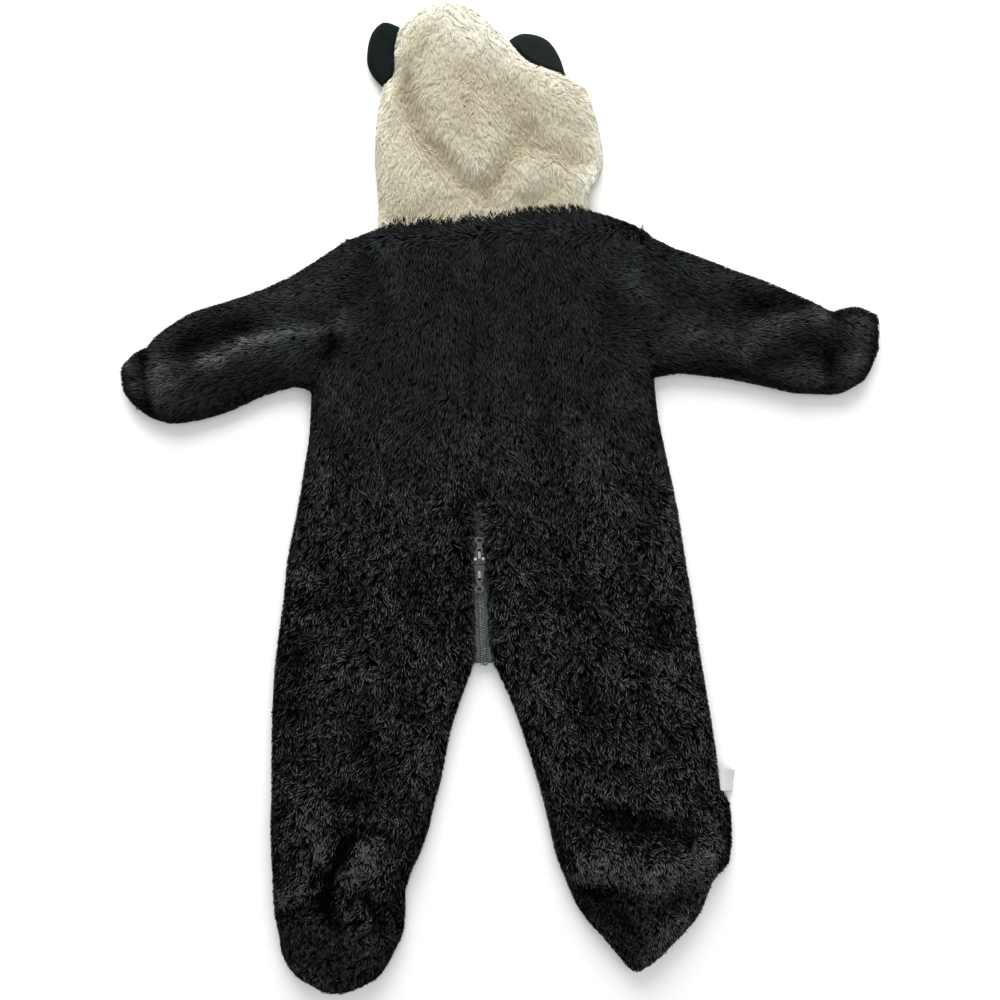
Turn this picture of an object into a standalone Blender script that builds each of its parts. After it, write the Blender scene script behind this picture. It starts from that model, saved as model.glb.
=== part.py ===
"""A panda onesie for a baby, laid flat on its front with its back up.

All tables are in millimetres, in the garment's own frame: +X to the garment's right hand in plan,
+Y to the hood, +Z up, the floor at z = 0. "left" and "right" are as seen from above.
The garment is two layers of plush: back panels lie on front panels, and both roll over to
side seams at SEAM_Z. A layer's outside is the tip of its pile.
"""
import math

import bmesh
import bpy
import numpy as np
from mathutils import Matrix, Vector

MM = 0.001
COLLECTION = "panda_onesie"

# ---------------------------------------------------------------- driving sizes, millimetres
GAP = 0.3  # between neighbouring pieces
ARMHOLE_GAP = 0.8  # a curved seam's chords need a little more
EAR_GAP = 0.9
HOOD_FRONT_GAP = 1.0
FRONT_ZIP_HALF = 8.6  # half the opening under the front, which shows its tape
SEAM_Z = 9.0  # height of the side seams
UNDER_TOP = SEAM_Z - GAP  # top of the front panels, which the back panels lie on
RIM = 1.5  # thickness left at a seam's very edge
WALL = 13.0  # plush with its pile: 2 of knit, 11 of pile
HOLLOW = 3.5  # most air between the layers where the hidden one is crumpled up into a foot
EDGE_ROUND = 13.0  # how far in from its edge a back panel rolls over
UNDER_ROUND = 9.0  # the same for a front panel, pressed on the floor
BODY_LOFT = 24.0
HOOD_LOFT = 25.0

ZIP_TOP_Y = -6.0
ZIP_CLOSED_Y, ZIP_NARROW_Y = 6.0, -25.0  # where the opening starts, and where it is nearly full
CROTCH_Y = -146.6
ZIP_HALF = 8.0  # half the opening that shows the tape
TAPE_HALF = 11.0
TAPE_Z = 10.6
TAPE_THICK = 0.8
TAPE_GAP = 0.6  # half the slit between the tapes
FRONT_TAPE_Z = 5.6
CHAIN_HALF = 2.6
CHAIN_THICK = 2.1

SOLE_SEAM_Y = {"left": -364.4, "right": -338.0}
TOE_Y = {"left": -433.6, "right": -413.9}

# ---------------------------------------------------------------- outline tables
SIDE_SEAM = (  # y, x of the left side, x of the right side
    (105.4, -164.0, 133.6),
    (93.2, -164.6, 134.3),
    (66.9, -165.0, 137.8),
    (31.0, -170.2, 145.7),
    (-15.3, -178.0, 155.3),
    (-54.7, -186.0, 161.4),
    (-89.7, -189.4, 167.6),
    (-133.4, -195.6, 173.7),
    (-179.8, -199.0, 181.6),
    (-225.3, -200.0, 188.6),
    (-258.6, -200.0, 192.0),
    (-293.6, -200.8, 194.7),
    (-314.6, -200.0, 193.8),
    (-326.8, -199.2, 190.3),
    (-335.6, -199.0, 185.0),
    (-350.4, -198.2, 179.8),
    (-364.4, -197.3, 173.7),
    (-385.4, -193.0, 155.3),
    (-396.0, -191.6, 144.8),
    (-406.4, -187.7, 133.4),
    (-411.7, -184.0, 125.6),
    (-413.9, -182.4, 121.0),
    (-417.8, -179.0, 121.0),
    (-427.4, -163.2, 121.0),
    (-431.8, -153.6, 121.0),
    (-433.6, -147.0, 121.0),
)
INSEAM = (  # y, x of the left leg's inside, x of the right leg's inside
    (-146.6, -23.9, -4.9),
    (-153.0, -25.6, -2.6),
    (-161.0, -29.3, 1.8),
    (-180.0, -36.3, 11.0),
    (-207.0, -45.0, 20.1),
    (-238.0, -50.3, 30.2),
    (-270.0, -58.6, 39.0),
    (-294.0, -64.3, 44.6),
    (-314.6, -72.2, 49.4),
    (-335.6, -81.8, 58.2),
    (-350.4, -84.0, 63.9),
    (-364.4, -83.6, 72.2),
    (-385.4, -87.0, 90.6),
    (-396.0, -92.8, 100.2),
    (-406.4, -97.6, 108.0),
    (-411.7, -101.0, 113.6),
    (-413.9, -102.3, 116.4),
    (-417.8, -104.6, 116.4),
    (-427.4, -121.2, 116.4),
    (-431.8, -131.7, 116.4),
    (-433.6, -138.3, 116.4),
)
ARMHOLE = {  # y, x from the shoulder point down to the armpit
    "left": ((224.4, -133.4), (203.0, -132.6), (181.6, -134.3), (159.0, -137.4), (137.8, -142.2),
             (118.0, -150.0), (104.0, -157.6), (93.2, -164.6)),
    "right": ((235.8, 122.1), (213.0, 119.6), (190.3, 118.2), (170.0, 117.9), (150.9, 119.4),
              (131.0, 123.3), (117.0, 128.0), (105.4, 133.6)),
}
NECK = (  # x, y of the neck seam and the shoulder lines, left to right
    (-133.4, 224.4),
    (-119.8, 229.6),
    (-106.3, 234.8),
    (-56.4, 240.4),
    (-11.8, 243.7),
    (35.4, 249.6),
    (61.0, 251.4),
    (79.2, 249.8),
    (100.6, 244.0),
    (122.1, 235.8),
)
NECK_CORNER = {"left": -106.3, "right": 79.2}
SLEEVE_SECTIONS = {  # fold x, fold y, underarm x, underarm y, armhole curve kept
    "left": (
        (-133.4, 224.4, -164.6, 93.2, 1.0),
        (-156.2, 209.6, -175.4, 97.6, 0.55),
        (-184.2, 192.1, -193.8, 94.1, 0.2),
        (-214.8, 178.9, -215.7, 86.2, 0.0),
        (-243.7, 169.3, -237.6, 75.7, 0.0),
        (-267.3, 162.3, -257.7, 69.6, 0.0),
        (-285.7, 151.8, -275.2, 66.1, 0.0),
        (-298.8, 142.2, -289.2, 65.2, 0.0),
        (-308.4, 131.7, -298.8, 67.8, 0.0),
        (-317.2, 127.3, -305.8, 70.4, 0.0),
        (-329.4, 116.0, -315.4, 77.4, 0.0),
    ),
    "right": (
        (122.1, 235.8, 133.6, 105.4, 1.0),
        (140.9, 221.8, 151.4, 109.0, 0.55),
        (173.7, 210.0, 177.6, 107.2, 0.2),
        (203.0, 198.6, 205.6, 103.3, 0.0),
        (232.8, 188.1, 232.3, 97.6, 0.0),
        (256.8, 177.6, 254.2, 92.3, 0.0),
        (274.3, 169.8, 268.2, 91.4, 0.0),
        (287.4, 162.3, 281.3, 90.6, 0.0),
        (299.7, 164.6, 293.6, 90.9, 0.0),
        (312.4, 166.2, 303.2, 94.0, 0.0),
        (328.6, 159.4, 316.2, 101.9, 0.0),
    ),
}
CUFF_BOW = 7.0  # how far the hem bulges beyond its last section
HOOD_SIDES = (  # y, x of the left side, x of the right side
    (234.0, -106.3, 79.2),
    (259.4, -106.3, 77.4),
    (271.7, -107.6, 84.0),
    (292.7, -109.4, 89.7),
    (311.0, -109.0, 88.0),
    (334.7, -107.2, 82.3),
    (351.3, -103.7, 76.6),
    (360.0, -101.0, 71.4),
    (368.0, -94.0, 56.4),
    (380.2, -92.3, 25.0),
    (391.6, -92.3, 12.7),
    (402.0, -90.6, 3.9),
    (411.7, -86.2, -5.7),
    (422.2, -74.8, -18.0),
    (428.3, -67.0, -26.7),
    (431.8, -60.0, -33.7),
    (433.6, -53.0, -40.6),
)
HOOD_SEAM = ((234.0, -11.2), (266.4, -16.2), (326.8, -25.0), (341.7, -29.4), (391.6, -39.8), (433.6, -46.8))
FACE_CENTRE_Y, FACE_HALF_HEIGHT, FACE_HALF_WIDTH = 300.0, 86.0, 46.0
HOOD_TOP_Y = 433.6
EAR_SECTIONS = {  # root x, root y on the hood's edge, rim x, rim y
    "left": ((-86.8, 411.4, -91.4, 413.4), (-90.8, 402.6, -103.0, 416.4), (-92.6, 392.0, -113.0, 406.4),
             (-92.8, 381.0, -116.6, 391.6), (-93.2, 371.0, -116.6, 378.4), (-99.4, 362.2, -111.4, 368.0),
             (-102.0, 358.0, -103.2, 359.6)),
    "right": ((7.2, 399.4, 7.8, 400.8), (16.6, 389.6, 18.4, 406.4), (27.4, 380.0, 32.4, 404.8),
              (39.0, 374.6, 42.6, 399.4), (49.4, 371.6, 49.6, 389.8), (54.6, 370.0, 53.6, 381.0),
              (58.2, 368.2, 56.6, 370.6)),
}
EAR_MIDDLE_Z, EAR_HALF_THICK, EAR_ROUND = 8.0, 6.0, 8.0
LABEL_CORNERS = ((189.6, -233.6), (206.0, -239.3), (203.4, -259.0), (192.6, -256.4))
LABEL_Z = (9.6, 8.4, 5.6, 2.0)  # from the seam outwards, its underside
LABEL_THICK = 0.8
UNDER_CORNER = (-258.0, -329.0, 8.0)  # y of its start and end, and its reach
CORNER_ROUND = 1.5

# ---------------------------------------------------------------- fold tables
# path in plan, half-width, rise of the cloth's outside (negative in a valley)
BODY_FOLDS = (
    ("left thigh crown", ((-130, -170), (-142, -280)), 48, 4.0),
    ("right thigh crown", ((92, -170), (118, -280)), 48, 4.0),
    ("zip valley", ((-21, 0), (-14.5, -150)), 13, -8.0),
    ("centre seam", ((-12, 240), (-21, -4)), 5, -1.5),
    ("neck valley", ((-104, 233), (-12, 242), (76, 249)), 6, -3.0),
    ("left shoulder blade", ((-105, 190), (-70, 150)), 30, 2.0),
    ("left waist hollow", ((-142, 62), (-110, 20)), 18, -2.5),
    ("left hip hollow", ((-160, -40), (-128, -100)), 16, -3.0),
    ("left seat hollow", ((-66, -92), (-52, -112)), 12, -3.0),
    ("left thigh hollow", ((-182, -130), (-176, -190)), 15, -3.0),
    ("left knee hollow", ((-112, -195), (-106, -240)), 15, -4.0),
    ("left calf hollow", ((-150, -240), (-112, -262)), 12, -3.5),
    ("right back ridge", ((78, 40), (84, -50)), 15, 2.5),
    ("right back valley", ((56, 10), (62, -90)), 12, -2.0),
    ("right hip hollow", ((124, -96), (144, -124)), 13, -3.5),
    ("right hip ridge", ((128, -138), (158, -168)), 12, 2.5),
    ("right thigh hollow", ((66, -160), (90, -196)), 13, -4.0),
    ("right knee ridge", ((100, -222), (150, -236)), 13, 2.0),
    ("left shoulder hollow", ((-118, 196), (-122, 176)), 11, -2.5),
    ("right shoulder ridge", ((96, 196), (118, 176)), 14, 2.5),
)
SLEEVE_FOLDS = (
    ("left sleeve ridge", ((-134, 147), (-182, 137), (-238, 122), (-284, 104)), 10, 7.0),
    ("left sleeve hollow", ((-226, 154), (-256, 145), (-274, 121)), 12, -8.5),
    ("left sleeve long valley", ((-150, 160), (-220, 146)), 9, -2.5),
    ("left armhole pit", ((-138, 138), (-149, 127), (-163, 112)), 7, -8.0),
    ("left sleeve under valley", ((-186, 108), (-228, 97), (-262, 84)), 9, -3.0),
    ("left cuff crown", ((-292, 122), (-300, 92)), 12, 2.0),
    ("left gather line", ((-307, 128), (-309, 100), (-302, 74)), 4.5, -5.5),
    ("left flounce upper", ((-313, 117), (-322, 112)), 5, 2.0),
    ("left flounce lower", ((-308, 92), (-316, 88)), 5, 2.5),
    ("right sleeve fold", ((282, 161), (253, 154), (230, 144), (205, 125)), 8, 6.0),
    ("right sleeve hollow", ((206, 176), (228, 169), (254, 165)), 10, -8.0),
    ("right sleeve ridge", ((146, 148), (190, 141), (210, 132)), 11, 4.0),
    ("right sleeve top valley", ((140, 196), (186, 184)), 10, -2.0),
    ("right cuff hollow", ((262, 138), (282, 118)), 9, -5.0),
    ("right cuff under ridge", ((238, 112), (272, 102)), 9, 3.0),
    ("right gather line", ((287, 160), (294, 143), (287, 118), (281, 95)), 4.5, -6.0),
    ("right flounce upper", ((300, 156), (314, 150)), 7, 4.0),
    ("right flounce lower", ((296, 118), (310, 114)), 7, 3.0),
    ("right flounce valley", ((300, 136), (318, 136)), 5, -3.0),
)
FOOT_FOLDS = (
    ("left heel crown", ((-160, -300), (-120, -318)), 34, 12.0),
    ("left toe crown", ((-146, -384), (-136, -392)), 36, 9.0),
    ("left ankle arc", ((-184, -306), (-166, -284), (-148, -273), (-124, -272), (-98, -284)), 6, -5.5),
    ("left heel crease", ((-126, -292), (-139, -310), (-148, -330), (-150, -346)), 6, -12.0),
    ("left heel cheek", ((-118, -302), (-124, -322)), 10, 4.0),
    ("left flap ridge", ((-194, -352), (-178, -341), (-160, -335)), 7, 6.0),
    ("left flap hollow", ((-186, -362), (-168, -352), (-152, -346), (-142, -366)), 6, -6.0),
    ("left right-hand crease", ((-120, -332), (-110, -350), (-102, -368)), 6, -5.0),
    ("left sole hollow", ((-170, -390), (-148, -400)), 13, -5.0),
    ("right heel crown", ((78, -318), (124, -322), (164, -316)), 22, 15.0),
    ("right ankle valley", ((88, -272), (110, -275), (136, -282), (158, -290)), 9, -7.5),
    ("right heel curl", ((64, -320), (78, -310), (94, -312)), 8, 4.0),
    ("right heel side crease", ((50, -318), (66, -306)), 6, -5.0),
    ("right toe crown", ((104, -362), (122, -376)), 30, 7.0),
    ("right heel step", ((62, -340), (84, -341), (112, -348), (140, -352), (168, -346)), 7, -9.0),
    ("right sole hollow", ((86, -348), (104, -360)), 11, -4.0),
)
HOOD_FOLDS = (
    ("hood cushion", ((-44, 385), (-30, 300)), 34, 6.0),
    ("hood V, left arm", ((-86, 360), (-80, 342), (-70, 317), (-58, 302), (-28, 272)), 10, -10.0),
    ("hood V, right arm", ((-13, 265), (-5, 276), (3, 292), (12, 307), (21, 318)), 9.5, -10.0),
    ("hood valley to the crown", ((-86, 360), (-74, 384), (-69, 404), (-60, 422)), 9, -6.0),
    ("hood right valley", ((34, 306), (50, 300), (69, 291)), 8, -6.0),
    ("hood lower right valley", ((24, 259), (44, 275)), 8, -4.5),
    ("hood centre crease", ((-31, 342), (-25, 327)), 4.5, -3.5),
    ("hood crown hollow", ((-40, 372), (-20, 366)), 14, -3.0),
    ("hood right hollow", ((10, 350), (20, 326)), 14, -5.0),
    ("hood right shoulder", ((44, 352), (66, 330)), 16, 4.0),
    ("hood left pad", ((-92, 300), (-74, 268)), 17, 3.5),
    ("hood right pad", ((14, 288), (28, 280)), 13, 4.0),
    ("hood neck fall", ((-106, 238), (-12, 246), (80, 253)), 12, -6.0),
)

# ---------------------------------------------------------------- hardware, millimetres
SLIDER_X = -18.4
HINGE_Y = {"upper": -50.0, "lower": -67.0}
POINTING = {"upper": 1, "lower": -1}  # the way each pull lies, along Y
NOSE_REACH, TAIL_REACH = 8.2, 3.4  # slider body from the hinge: towards the other slider, and away
SHOULDER_HALF, TAIL_HALF = 5.2, 3.9
PLATE_THICK = 1.2
TOP_PLATE_Z = TAPE_Z + TAPE_THICK + GAP + CHAIN_THICK + GAP
BOTTOM_PLATE_Z = SEAM_Z
BOTTOM_PLATE_THICK = TAPE_Z - GAP - BOTTOM_PLATE_Z
POST_HALF = 1.2
SPLIT_HALF = 1.7  # half the slit where the tapes part round the sliders' posts
BRIDGE_HALF, BRIDGE_REACH, BRIDGE_ROOF = 1.1, 3.0, 0.9
PIN_RADIUS = 0.6
HINGE_Z = TOP_PLATE_Z + PLATE_THICK + 0.35 + PIN_RADIUS
PULL_LENGTH, PULL_THICK = 16.0, 1.1
TAB_HALF = 2.1
STIRRUP_HALF, STIRRUP_BAR, SLOT_END = 3.0, 1.4, 5.0
RING_OUTER, RING_HOLE = 4.4, 2.2

FINISHES = {  # colour, roughness, metallic
    "plush_black": ((0.012, 0.012, 0.014), 0.95, 0.0),
    "plush_cream": ((0.78, 0.69, 0.52), 0.95, 0.0),
    "velour_black": ((0.010, 0.011, 0.012), 0.9, 0.0),
    "zip_tape": ((0.020, 0.026, 0.028), 0.85, 0.0),
    "zip_plastic": ((0.015, 0.016, 0.018), 0.35, 0.0),
    "zip_metal": ((0.10, 0.105, 0.11), 0.35, 0.9),
    "label_satin": ((0.80, 0.80, 0.78), 0.5, 0.0),
}


# ---------------------------------------------------------------- curves
def smooth_table(rows, key, value):
    """A smooth curve through one column of a table against another."""
    ordered = sorted(rows, key=lambda row: row[key])
    places = np.array([row[key] for row in ordered], float)
    values = np.array([row[value] for row in ordered], float)
    slopes = np.gradient(values, places)

    def at(place):
        i = int(np.clip(np.searchsorted(places, place) - 1, 0, len(places) - 2))
        span = places[i + 1] - places[i]
        t = min(max((place - places[i]) / span, 0.0), 1.0)
        rise = values[i + 1] - values[i]
        bend_in = slopes[i] * span - rise
        bend_out = rise - slopes[i + 1] * span
        return float(values[i] + rise * t + t * (1 - t) * (bend_in * (1 - t) + bend_out * t))

    return at


def even_steps(start, end, step):
    """Places from start to end, an even number of steps apart."""
    count = max(2, 2 * math.ceil(abs(end - start) / step / 2))
    return [start + (end - start) * i / count for i in range(count + 1)]


EDGE_INSETS = (0.0, 0.8, 2.6, 5.6, 10.0)  # places in from a rolled edge


def spread(width, middle):
    """Places across a width, closer together near both ends, with `middle` of them between."""
    scale = min(1.0, width / (4 * EDGE_INSETS[-1]))
    near = [inset * scale for inset in EDGE_INSETS]
    far = [width - inset for inset in reversed(near)]
    step = (far[0] - near[-1]) / (middle + 1)
    return near + [near[-1] + step * k for k in range(1, middle + 1)] + far


neck_y = smooth_table(NECK, 0, 1)
side_x = {"left": smooth_table(SIDE_SEAM, 0, 1), "right": smooth_table(SIDE_SEAM, 0, 2)}
inseam_x = {"left": smooth_table(INSEAM, 0, 1), "right": smooth_table(INSEAM, 0, 2)}
armhole_x = {side: smooth_table(rows, 0, 1) for side, rows in ARMHOLE.items()}
armpit_y = {side: rows[-1][0] for side, rows in ARMHOLE.items()}
shoulder_y = {side: rows[0][0] for side, rows in ARMHOLE.items()}
hood_side_x = {"left": smooth_table(HOOD_SIDES, 0, 1), "right": smooth_table(HOOD_SIDES, 0, 2)}
hood_seam_x = smooth_table(HOOD_SEAM, 0, 1)
SIGN = {"left": -1, "right": 1}


def centre_x(y):
    """The centre back line: the seam from the neck to the zip, then the zip to the crotch."""
    if y > ZIP_TOP_Y:
        return float(np.interp(y, (ZIP_TOP_Y, 243.7), (-20.8, -11.8)))
    return float(np.interp(y, (CROTCH_Y, ZIP_TOP_Y), (-14.4, -20.8)))


def zip_half(y):
    """Half the opening in the back that shows the zip; above the zip, half a seam's gap."""
    return float(np.interp(y, (CROTCH_Y, -100.0, -60.0, ZIP_NARROW_Y, ZIP_TOP_Y, ZIP_CLOSED_Y),
                           (9.5, ZIP_HALF, 7.2, 5.8, 4.2, GAP / 2)))


def back_inner_x(side, y):
    """The inner edge of a back panel: centre seam, zip edge, then inseam."""
    if y >= CROTCH_Y:
        return centre_x(y) + SIGN[side] * zip_half(y)
    return inseam_x[side](y)


def front_inner_x(side, y):
    """The inner edge of a front panel, open along the whole front zip."""
    if y >= CROTCH_Y:
        half = float(np.interp(y, (CROTCH_Y, CROTCH_Y + 30), (9.5, FRONT_ZIP_HALF)))
        return centre_x(y) + SIGN[side] * half
    return inseam_x[side](y)


def outer_x(side, y):
    """The outer edge of a body panel: armhole, then side seam."""
    if y > armpit_y[side]:
        return armhole_x[side](y) - SIGN[side] * ARMHOLE_GAP / 2
    return side_x[side](y)


def corner_reach(side, y):
    """How far the right front panel's lower corner shows beyond the leg at this level."""
    start, end, reach = UNDER_CORNER
    if side == "left" or not end < y < start:
        return 0.0
    return reach * min((start - y) / 6, (y - end) / 8, 1.0)


# ---------------------------------------------------------------- cloth heights
def segments(path):
    """A path's straight stretches, as (start, vector) pairs."""
    points = np.array(path, float)
    return points[:-1], points[1:] - points[:-1]


def distances(starts, vectors, x, y):
    """Distance from a plan point to each straight stretch."""
    offset = np.array((x, y)) - starts
    length2 = np.maximum((vectors**2).sum(1), 1e-9)
    t = np.clip((offset * vectors).sum(1) / length2, 0, 1)
    return np.sqrt(((offset - vectors * t[:, None]) ** 2).sum(1))


class Cloth:
    """One cloth's free outlines and folds, which give the heights of its two layers."""

    def __init__(self, loft, outlines, folds):
        self.loft = loft
        pairs = [segments(path) for path in outlines]
        self.edges = np.vstack([p[0] for p in pairs]), np.vstack([p[1] for p in pairs])
        self.folds = [(segments(path), width, rise) for name, path, width, rise in folds]

    def edge_roll(self, x, y, depth):
        """0 at the free edge, 1 further in than depth, along a quarter of an ellipse."""
        t = min(distances(*self.edges, x, y).min() / depth, 1.0)
        return math.sqrt(1 - (1 - t) ** 2)

    def top(self, x, y):
        """Height of the upper layer's outside."""
        height = self.loft
        for stretch, width, rise in self.folds:
            reach = distances(*stretch, x, y).min() / width
            if reach < 3:
                height += rise * math.exp(-reach * reach)
        foot = SEAM_Z + RIM
        return foot + (max(height, foot + 2) - foot) * self.edge_roll(x, y, EDGE_ROUND)

    def lining(self, x, y):
        """Height of the upper layer's inside, which lies on the lower layer or arches over it."""
        inside = max(SEAM_Z, self.top(x, y) - WALL)
        if ZIP_CLOSED_Y + 1 > y > CROTCH_Y - 2 and abs(x - centre_x(y)) < TAPE_HALF + 8:
            inside = max(inside, TAPE_Z + TAPE_THICK + GAP)
        return inside

    def under_top(self, x, y, crumpled=False):
        """Height of the lower layer's inside, pushed up into the feet where it is crumpled."""
        if not crumpled:
            return UNDER_TOP
        return max(UNDER_TOP, self.lining(x, y) - HOLLOW)

    def bottom(self, x, y):
        """Height of the lower layer's outside, flat on the floor but for its rolled edge."""
        return (UNDER_TOP - RIM) * (1 - self.edge_roll(x, y, UNDER_ROUND))


def side_outline(side):
    """The free outline of one half, from the neck corner round sleeve, side, foot and inseam."""
    corner = NECK_CORNER[side]
    shoulder = SLEEVE_SECTIONS[side][0][0]
    path = [(x, neck_y(x)) for x in np.linspace(corner, shoulder, 5)]
    sections = sleeve_curves(side)
    path += [sections(t)[0] for t in np.linspace(0.02, 1, 30)]
    path += [cuff_point(side, s) for s in np.linspace(0.1, 0.9, 7)]
    path += [sections(t)[1] for t in np.linspace(1, 0, 30)]
    toe = TOE_Y[side]
    path += [(side_x[side](y), y) for y in np.linspace(armpit_y[side], toe, 110)]
    path += [(inseam_x[side](y), y) for y in np.linspace(toe, CROTCH_Y, 70)]
    return path


def sleeve_curves(side):
    """Fold point, underarm point and share of the armhole curve at 0 (armhole) to 1 (hem)."""
    rows = [(i / (len(SLEEVE_SECTIONS[side]) - 1), *row) for i, row in enumerate(SLEEVE_SECTIONS[side])]
    columns = [smooth_table(rows, 0, c) for c in range(1, 5)]
    share = [row[5] for row in rows]
    places = [row[0] for row in rows]

    def at(t):
        fx, fy, ux, uy = (column(t) for column in columns)
        return (fx, fy), (ux, uy), float(np.interp(t, places, share))

    return at


def cuff_point(side, s):
    """A point of the hem, from the underarm (0) to the fold (1), bulging outwards."""
    fold, under, _ = sleeve_curves(side)(1.0)
    along = Vector(fold).lerp(Vector(under), 1 - s) if s < 1 else Vector(fold)
    chord = Vector(fold) - Vector(under)
    outward = Vector((chord.y, -chord.x)).normalized()
    if outward.x * SIGN[side] < 0:
        outward = -outward
    return tuple(along + outward * CUFF_BOW * 4 * s * (1 - s))


def hood_outline():
    """The hood's free outline, from the left neck corner over the crown to the right one."""
    levels = np.linspace(236, HOOD_TOP_Y, 60)
    left = [(hood_side_x["left"](y), y) for y in levels]
    right = [(hood_side_x["right"](y), y) for y in reversed(levels)]
    return left + right


BODY_SIDES = [side_outline("left"), side_outline("right")]
BODY = Cloth(BODY_LOFT, BODY_SIDES, BODY_FOLDS + SLEEVE_FOLDS + FOOT_FOLDS)
HOOD = Cloth(HOOD_LOFT, [hood_outline()], HOOD_FOLDS)


# ---------------------------------------------------------------- making objects
def finish(name):
    """The material of this name, made once."""
    material = bpy.data.materials.get(name)
    if material is None:
        colour, roughness, metallic = FINISHES[name]
        material = bpy.data.materials.new(name)
        material.use_nodes = True
        shader = material.node_tree.nodes["Principled BSDF"]
        shader.inputs["Base Color"].default_value = (*colour, 1)
        shader.inputs["Roughness"].default_value = roughness
        shader.inputs["Metallic"].default_value = metallic
        material.diffuse_color = (*colour, 1)
    return material


def add_object(name, bm, material, collection, smooth=True):
    """A named object in metres from a mesh in millimetres."""
    bmesh.ops.recalc_face_normals(bm, faces=bm.faces)
    bmesh.ops.scale(bm, vec=(MM, MM, MM), verts=bm.verts)
    mesh = bpy.data.meshes.new(name)
    bm.to_mesh(mesh)
    bm.free()
    mesh.materials.append(finish(material))
    if smooth:
        mesh.shade_smooth()
        mesh.set_sharp_from_angle(angle=math.radians(40))
    thing = bpy.data.objects.new(name, mesh)
    collection.objects.link(thing)
    return thing


def stitch(bm, fine, coarse):
    """Closes the strip between two borders, the fine one with twice the steps or the same."""
    if len(fine) == len(coarse):
        for i in range(len(coarse) - 1):
            bm.faces.new((fine[i], fine[i + 1], coarse[i + 1], coarse[i]))
        return
    for i in range(len(coarse) - 1):
        a, b, c = fine[2 * i : 2 * i + 3]
        bm.faces.new((a, b, coarse[i]))
        bm.faces.new((b, coarse[i + 1], coarse[i]))
        bm.faces.new((b, c, coarse[i + 1]))


def patch(bm, corners, height):
    """A grid's cell: where the surface's height is given, split along its better diagonal."""
    if height is None:
        bm.faces.new(corners)
        return
    a, b, c, d = corners
    centre = (a.co + b.co + c.co + d.co) / 4
    level = height(centre.x, centre.y)
    if abs((a.co.z + c.co.z) / 2 - level) > abs((b.co.z + d.co.z) / 2 - level):
        a, b, c, d = b, c, d, a
    bm.faces.new((a, b, c))
    bm.faces.new((a, c, d))


def wall(outer, inner, height=None):
    """A closed wall between an outer and an inner grid of points, row by row."""
    bm = bmesh.new()
    grids = []
    for grid, surface in ((outer, height), (inner, None)):
        verts = [[bm.verts.new(point) for point in row] for row in grid]
        for r in range(len(verts) - 1):
            for c in range(len(verts[r]) - 1):
                corners = (verts[r][c], verts[r][c + 1], verts[r + 1][c + 1], verts[r + 1][c])
                patch(bm, corners, surface)
        grids.append(verts)
    out, back = grids
    stitch(bm, out[0], back[0])
    stitch(bm, out[-1], back[-1])
    stitch(bm, [row[0] for row in out], [row[0] for row in back])
    stitch(bm, [row[-1] for row in out], [row[-1] for row in back])
    return bm


def lift(plan, height):
    """Plan points raised to the height of a surface."""
    return [[(x, y, height(x, y)) for x, y in row] for row in plan]


def halved(plan):
    """Every second row and column of a grid."""
    return [row[::2] for row in plan[::2]]


# ---------------------------------------------------------------- body panels
def body_rows(side):
    """Levels of the rows of a body panel, from the shoulder to the sole's seam."""
    top = shoulder_y[side]
    first = [top - inset for inset in EDGE_INSETS]
    rows = first + even_steps(first[-1], armpit_y[side], 11)[1:-1] + [armpit_y[side]]
    rows += even_steps(armpit_y[side], ZIP_CLOSED_Y, 22)[1:]
    rows += even_steps(ZIP_CLOSED_Y, ZIP_NARROW_Y, 16)[1:]
    rows += even_steps(ZIP_NARROW_Y, CROTCH_Y, 16)[1:]
    rows += even_steps(CROTCH_Y, -250.0, 15)[1:]
    return rows + even_steps(-250.0, SOLE_SEAM_Y[side] + GAP / 2, 10)[1:]


def body_plan(side, levels, inner_x, edge_x, middle):
    """Plan points of a body panel. Rows follow the neck at the top and straighten below it."""
    plan = []
    for level in levels:
        start, end = edge_x(side, level), inner_x(side, level)
        follow = max(0.0, min(1.0, (level - armpit_y[side]) / (shoulder_y[side] - armpit_y[side]))) ** 2
        row = []
        for place in spread(abs(end - start), middle):
            x = start + place * (1 if end > start else -1)
            row.append((x, level + (neck_y(x) - neck_y(start) - GAP / 2) * follow))
        plan.append(row)
    return plan


def make_back(side, collection):
    plan = body_plan(side, body_rows(side), back_inner_x, outer_x, 7)
    bm = wall(lift(plan, BODY.top), lift(halved(plan), BODY.lining), BODY.top)
    return add_object(f"back_{side}", bm, "plush_black", collection)


def foot_height(x, y):
    """Inside of the lower layer: flat under the body, crumpled upwards under a foot."""
    return BODY.under_top(x, y, crumpled=y < -262)


def make_front(side, collection):
    rows = body_rows(side)
    armpit = rows.index(armpit_y[side])
    plan = body_plan(side, rows[:armpit] + rows[armpit::2], front_inner_x, outer_x, 7)
    coarse = [row[::2] for row in plan]
    outside, inside = lift(coarse, BODY.bottom), lift(coarse, foot_height)
    for low, high in zip(outside, inside, strict=True):
        reach = corner_reach(side, low[0][1])
        if reach > 0:
            x = low[0][0] + reach
            low[0] = (x, low[0][1], CORNER_ROUND)
            high[0] = (x, high[0][1], UNDER_TOP - CORNER_ROUND)
    bm = wall(outside, inside)
    return add_object(f"front_{side}", bm, "plush_black", collection)


def foot_plan(side):
    """Plan points of a sole and instep, from their seam to the toe."""
    seam, toe = SOLE_SEAM_Y[side] - GAP / 2, TOE_Y[side]
    levels = even_steps(seam, toe + 12, 9)
    levels += [toe + inset for inset in (8.0, 4.4, 1.8, 0.0)]
    plan = []
    for level in levels:
        start, end = side_x[side](level), inseam_x[side](level)
        row = [(start + place * (1 if end > start else -1), level) for place in spread(abs(end - start), 7)]
        plan.append(row)
    return plan


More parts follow.
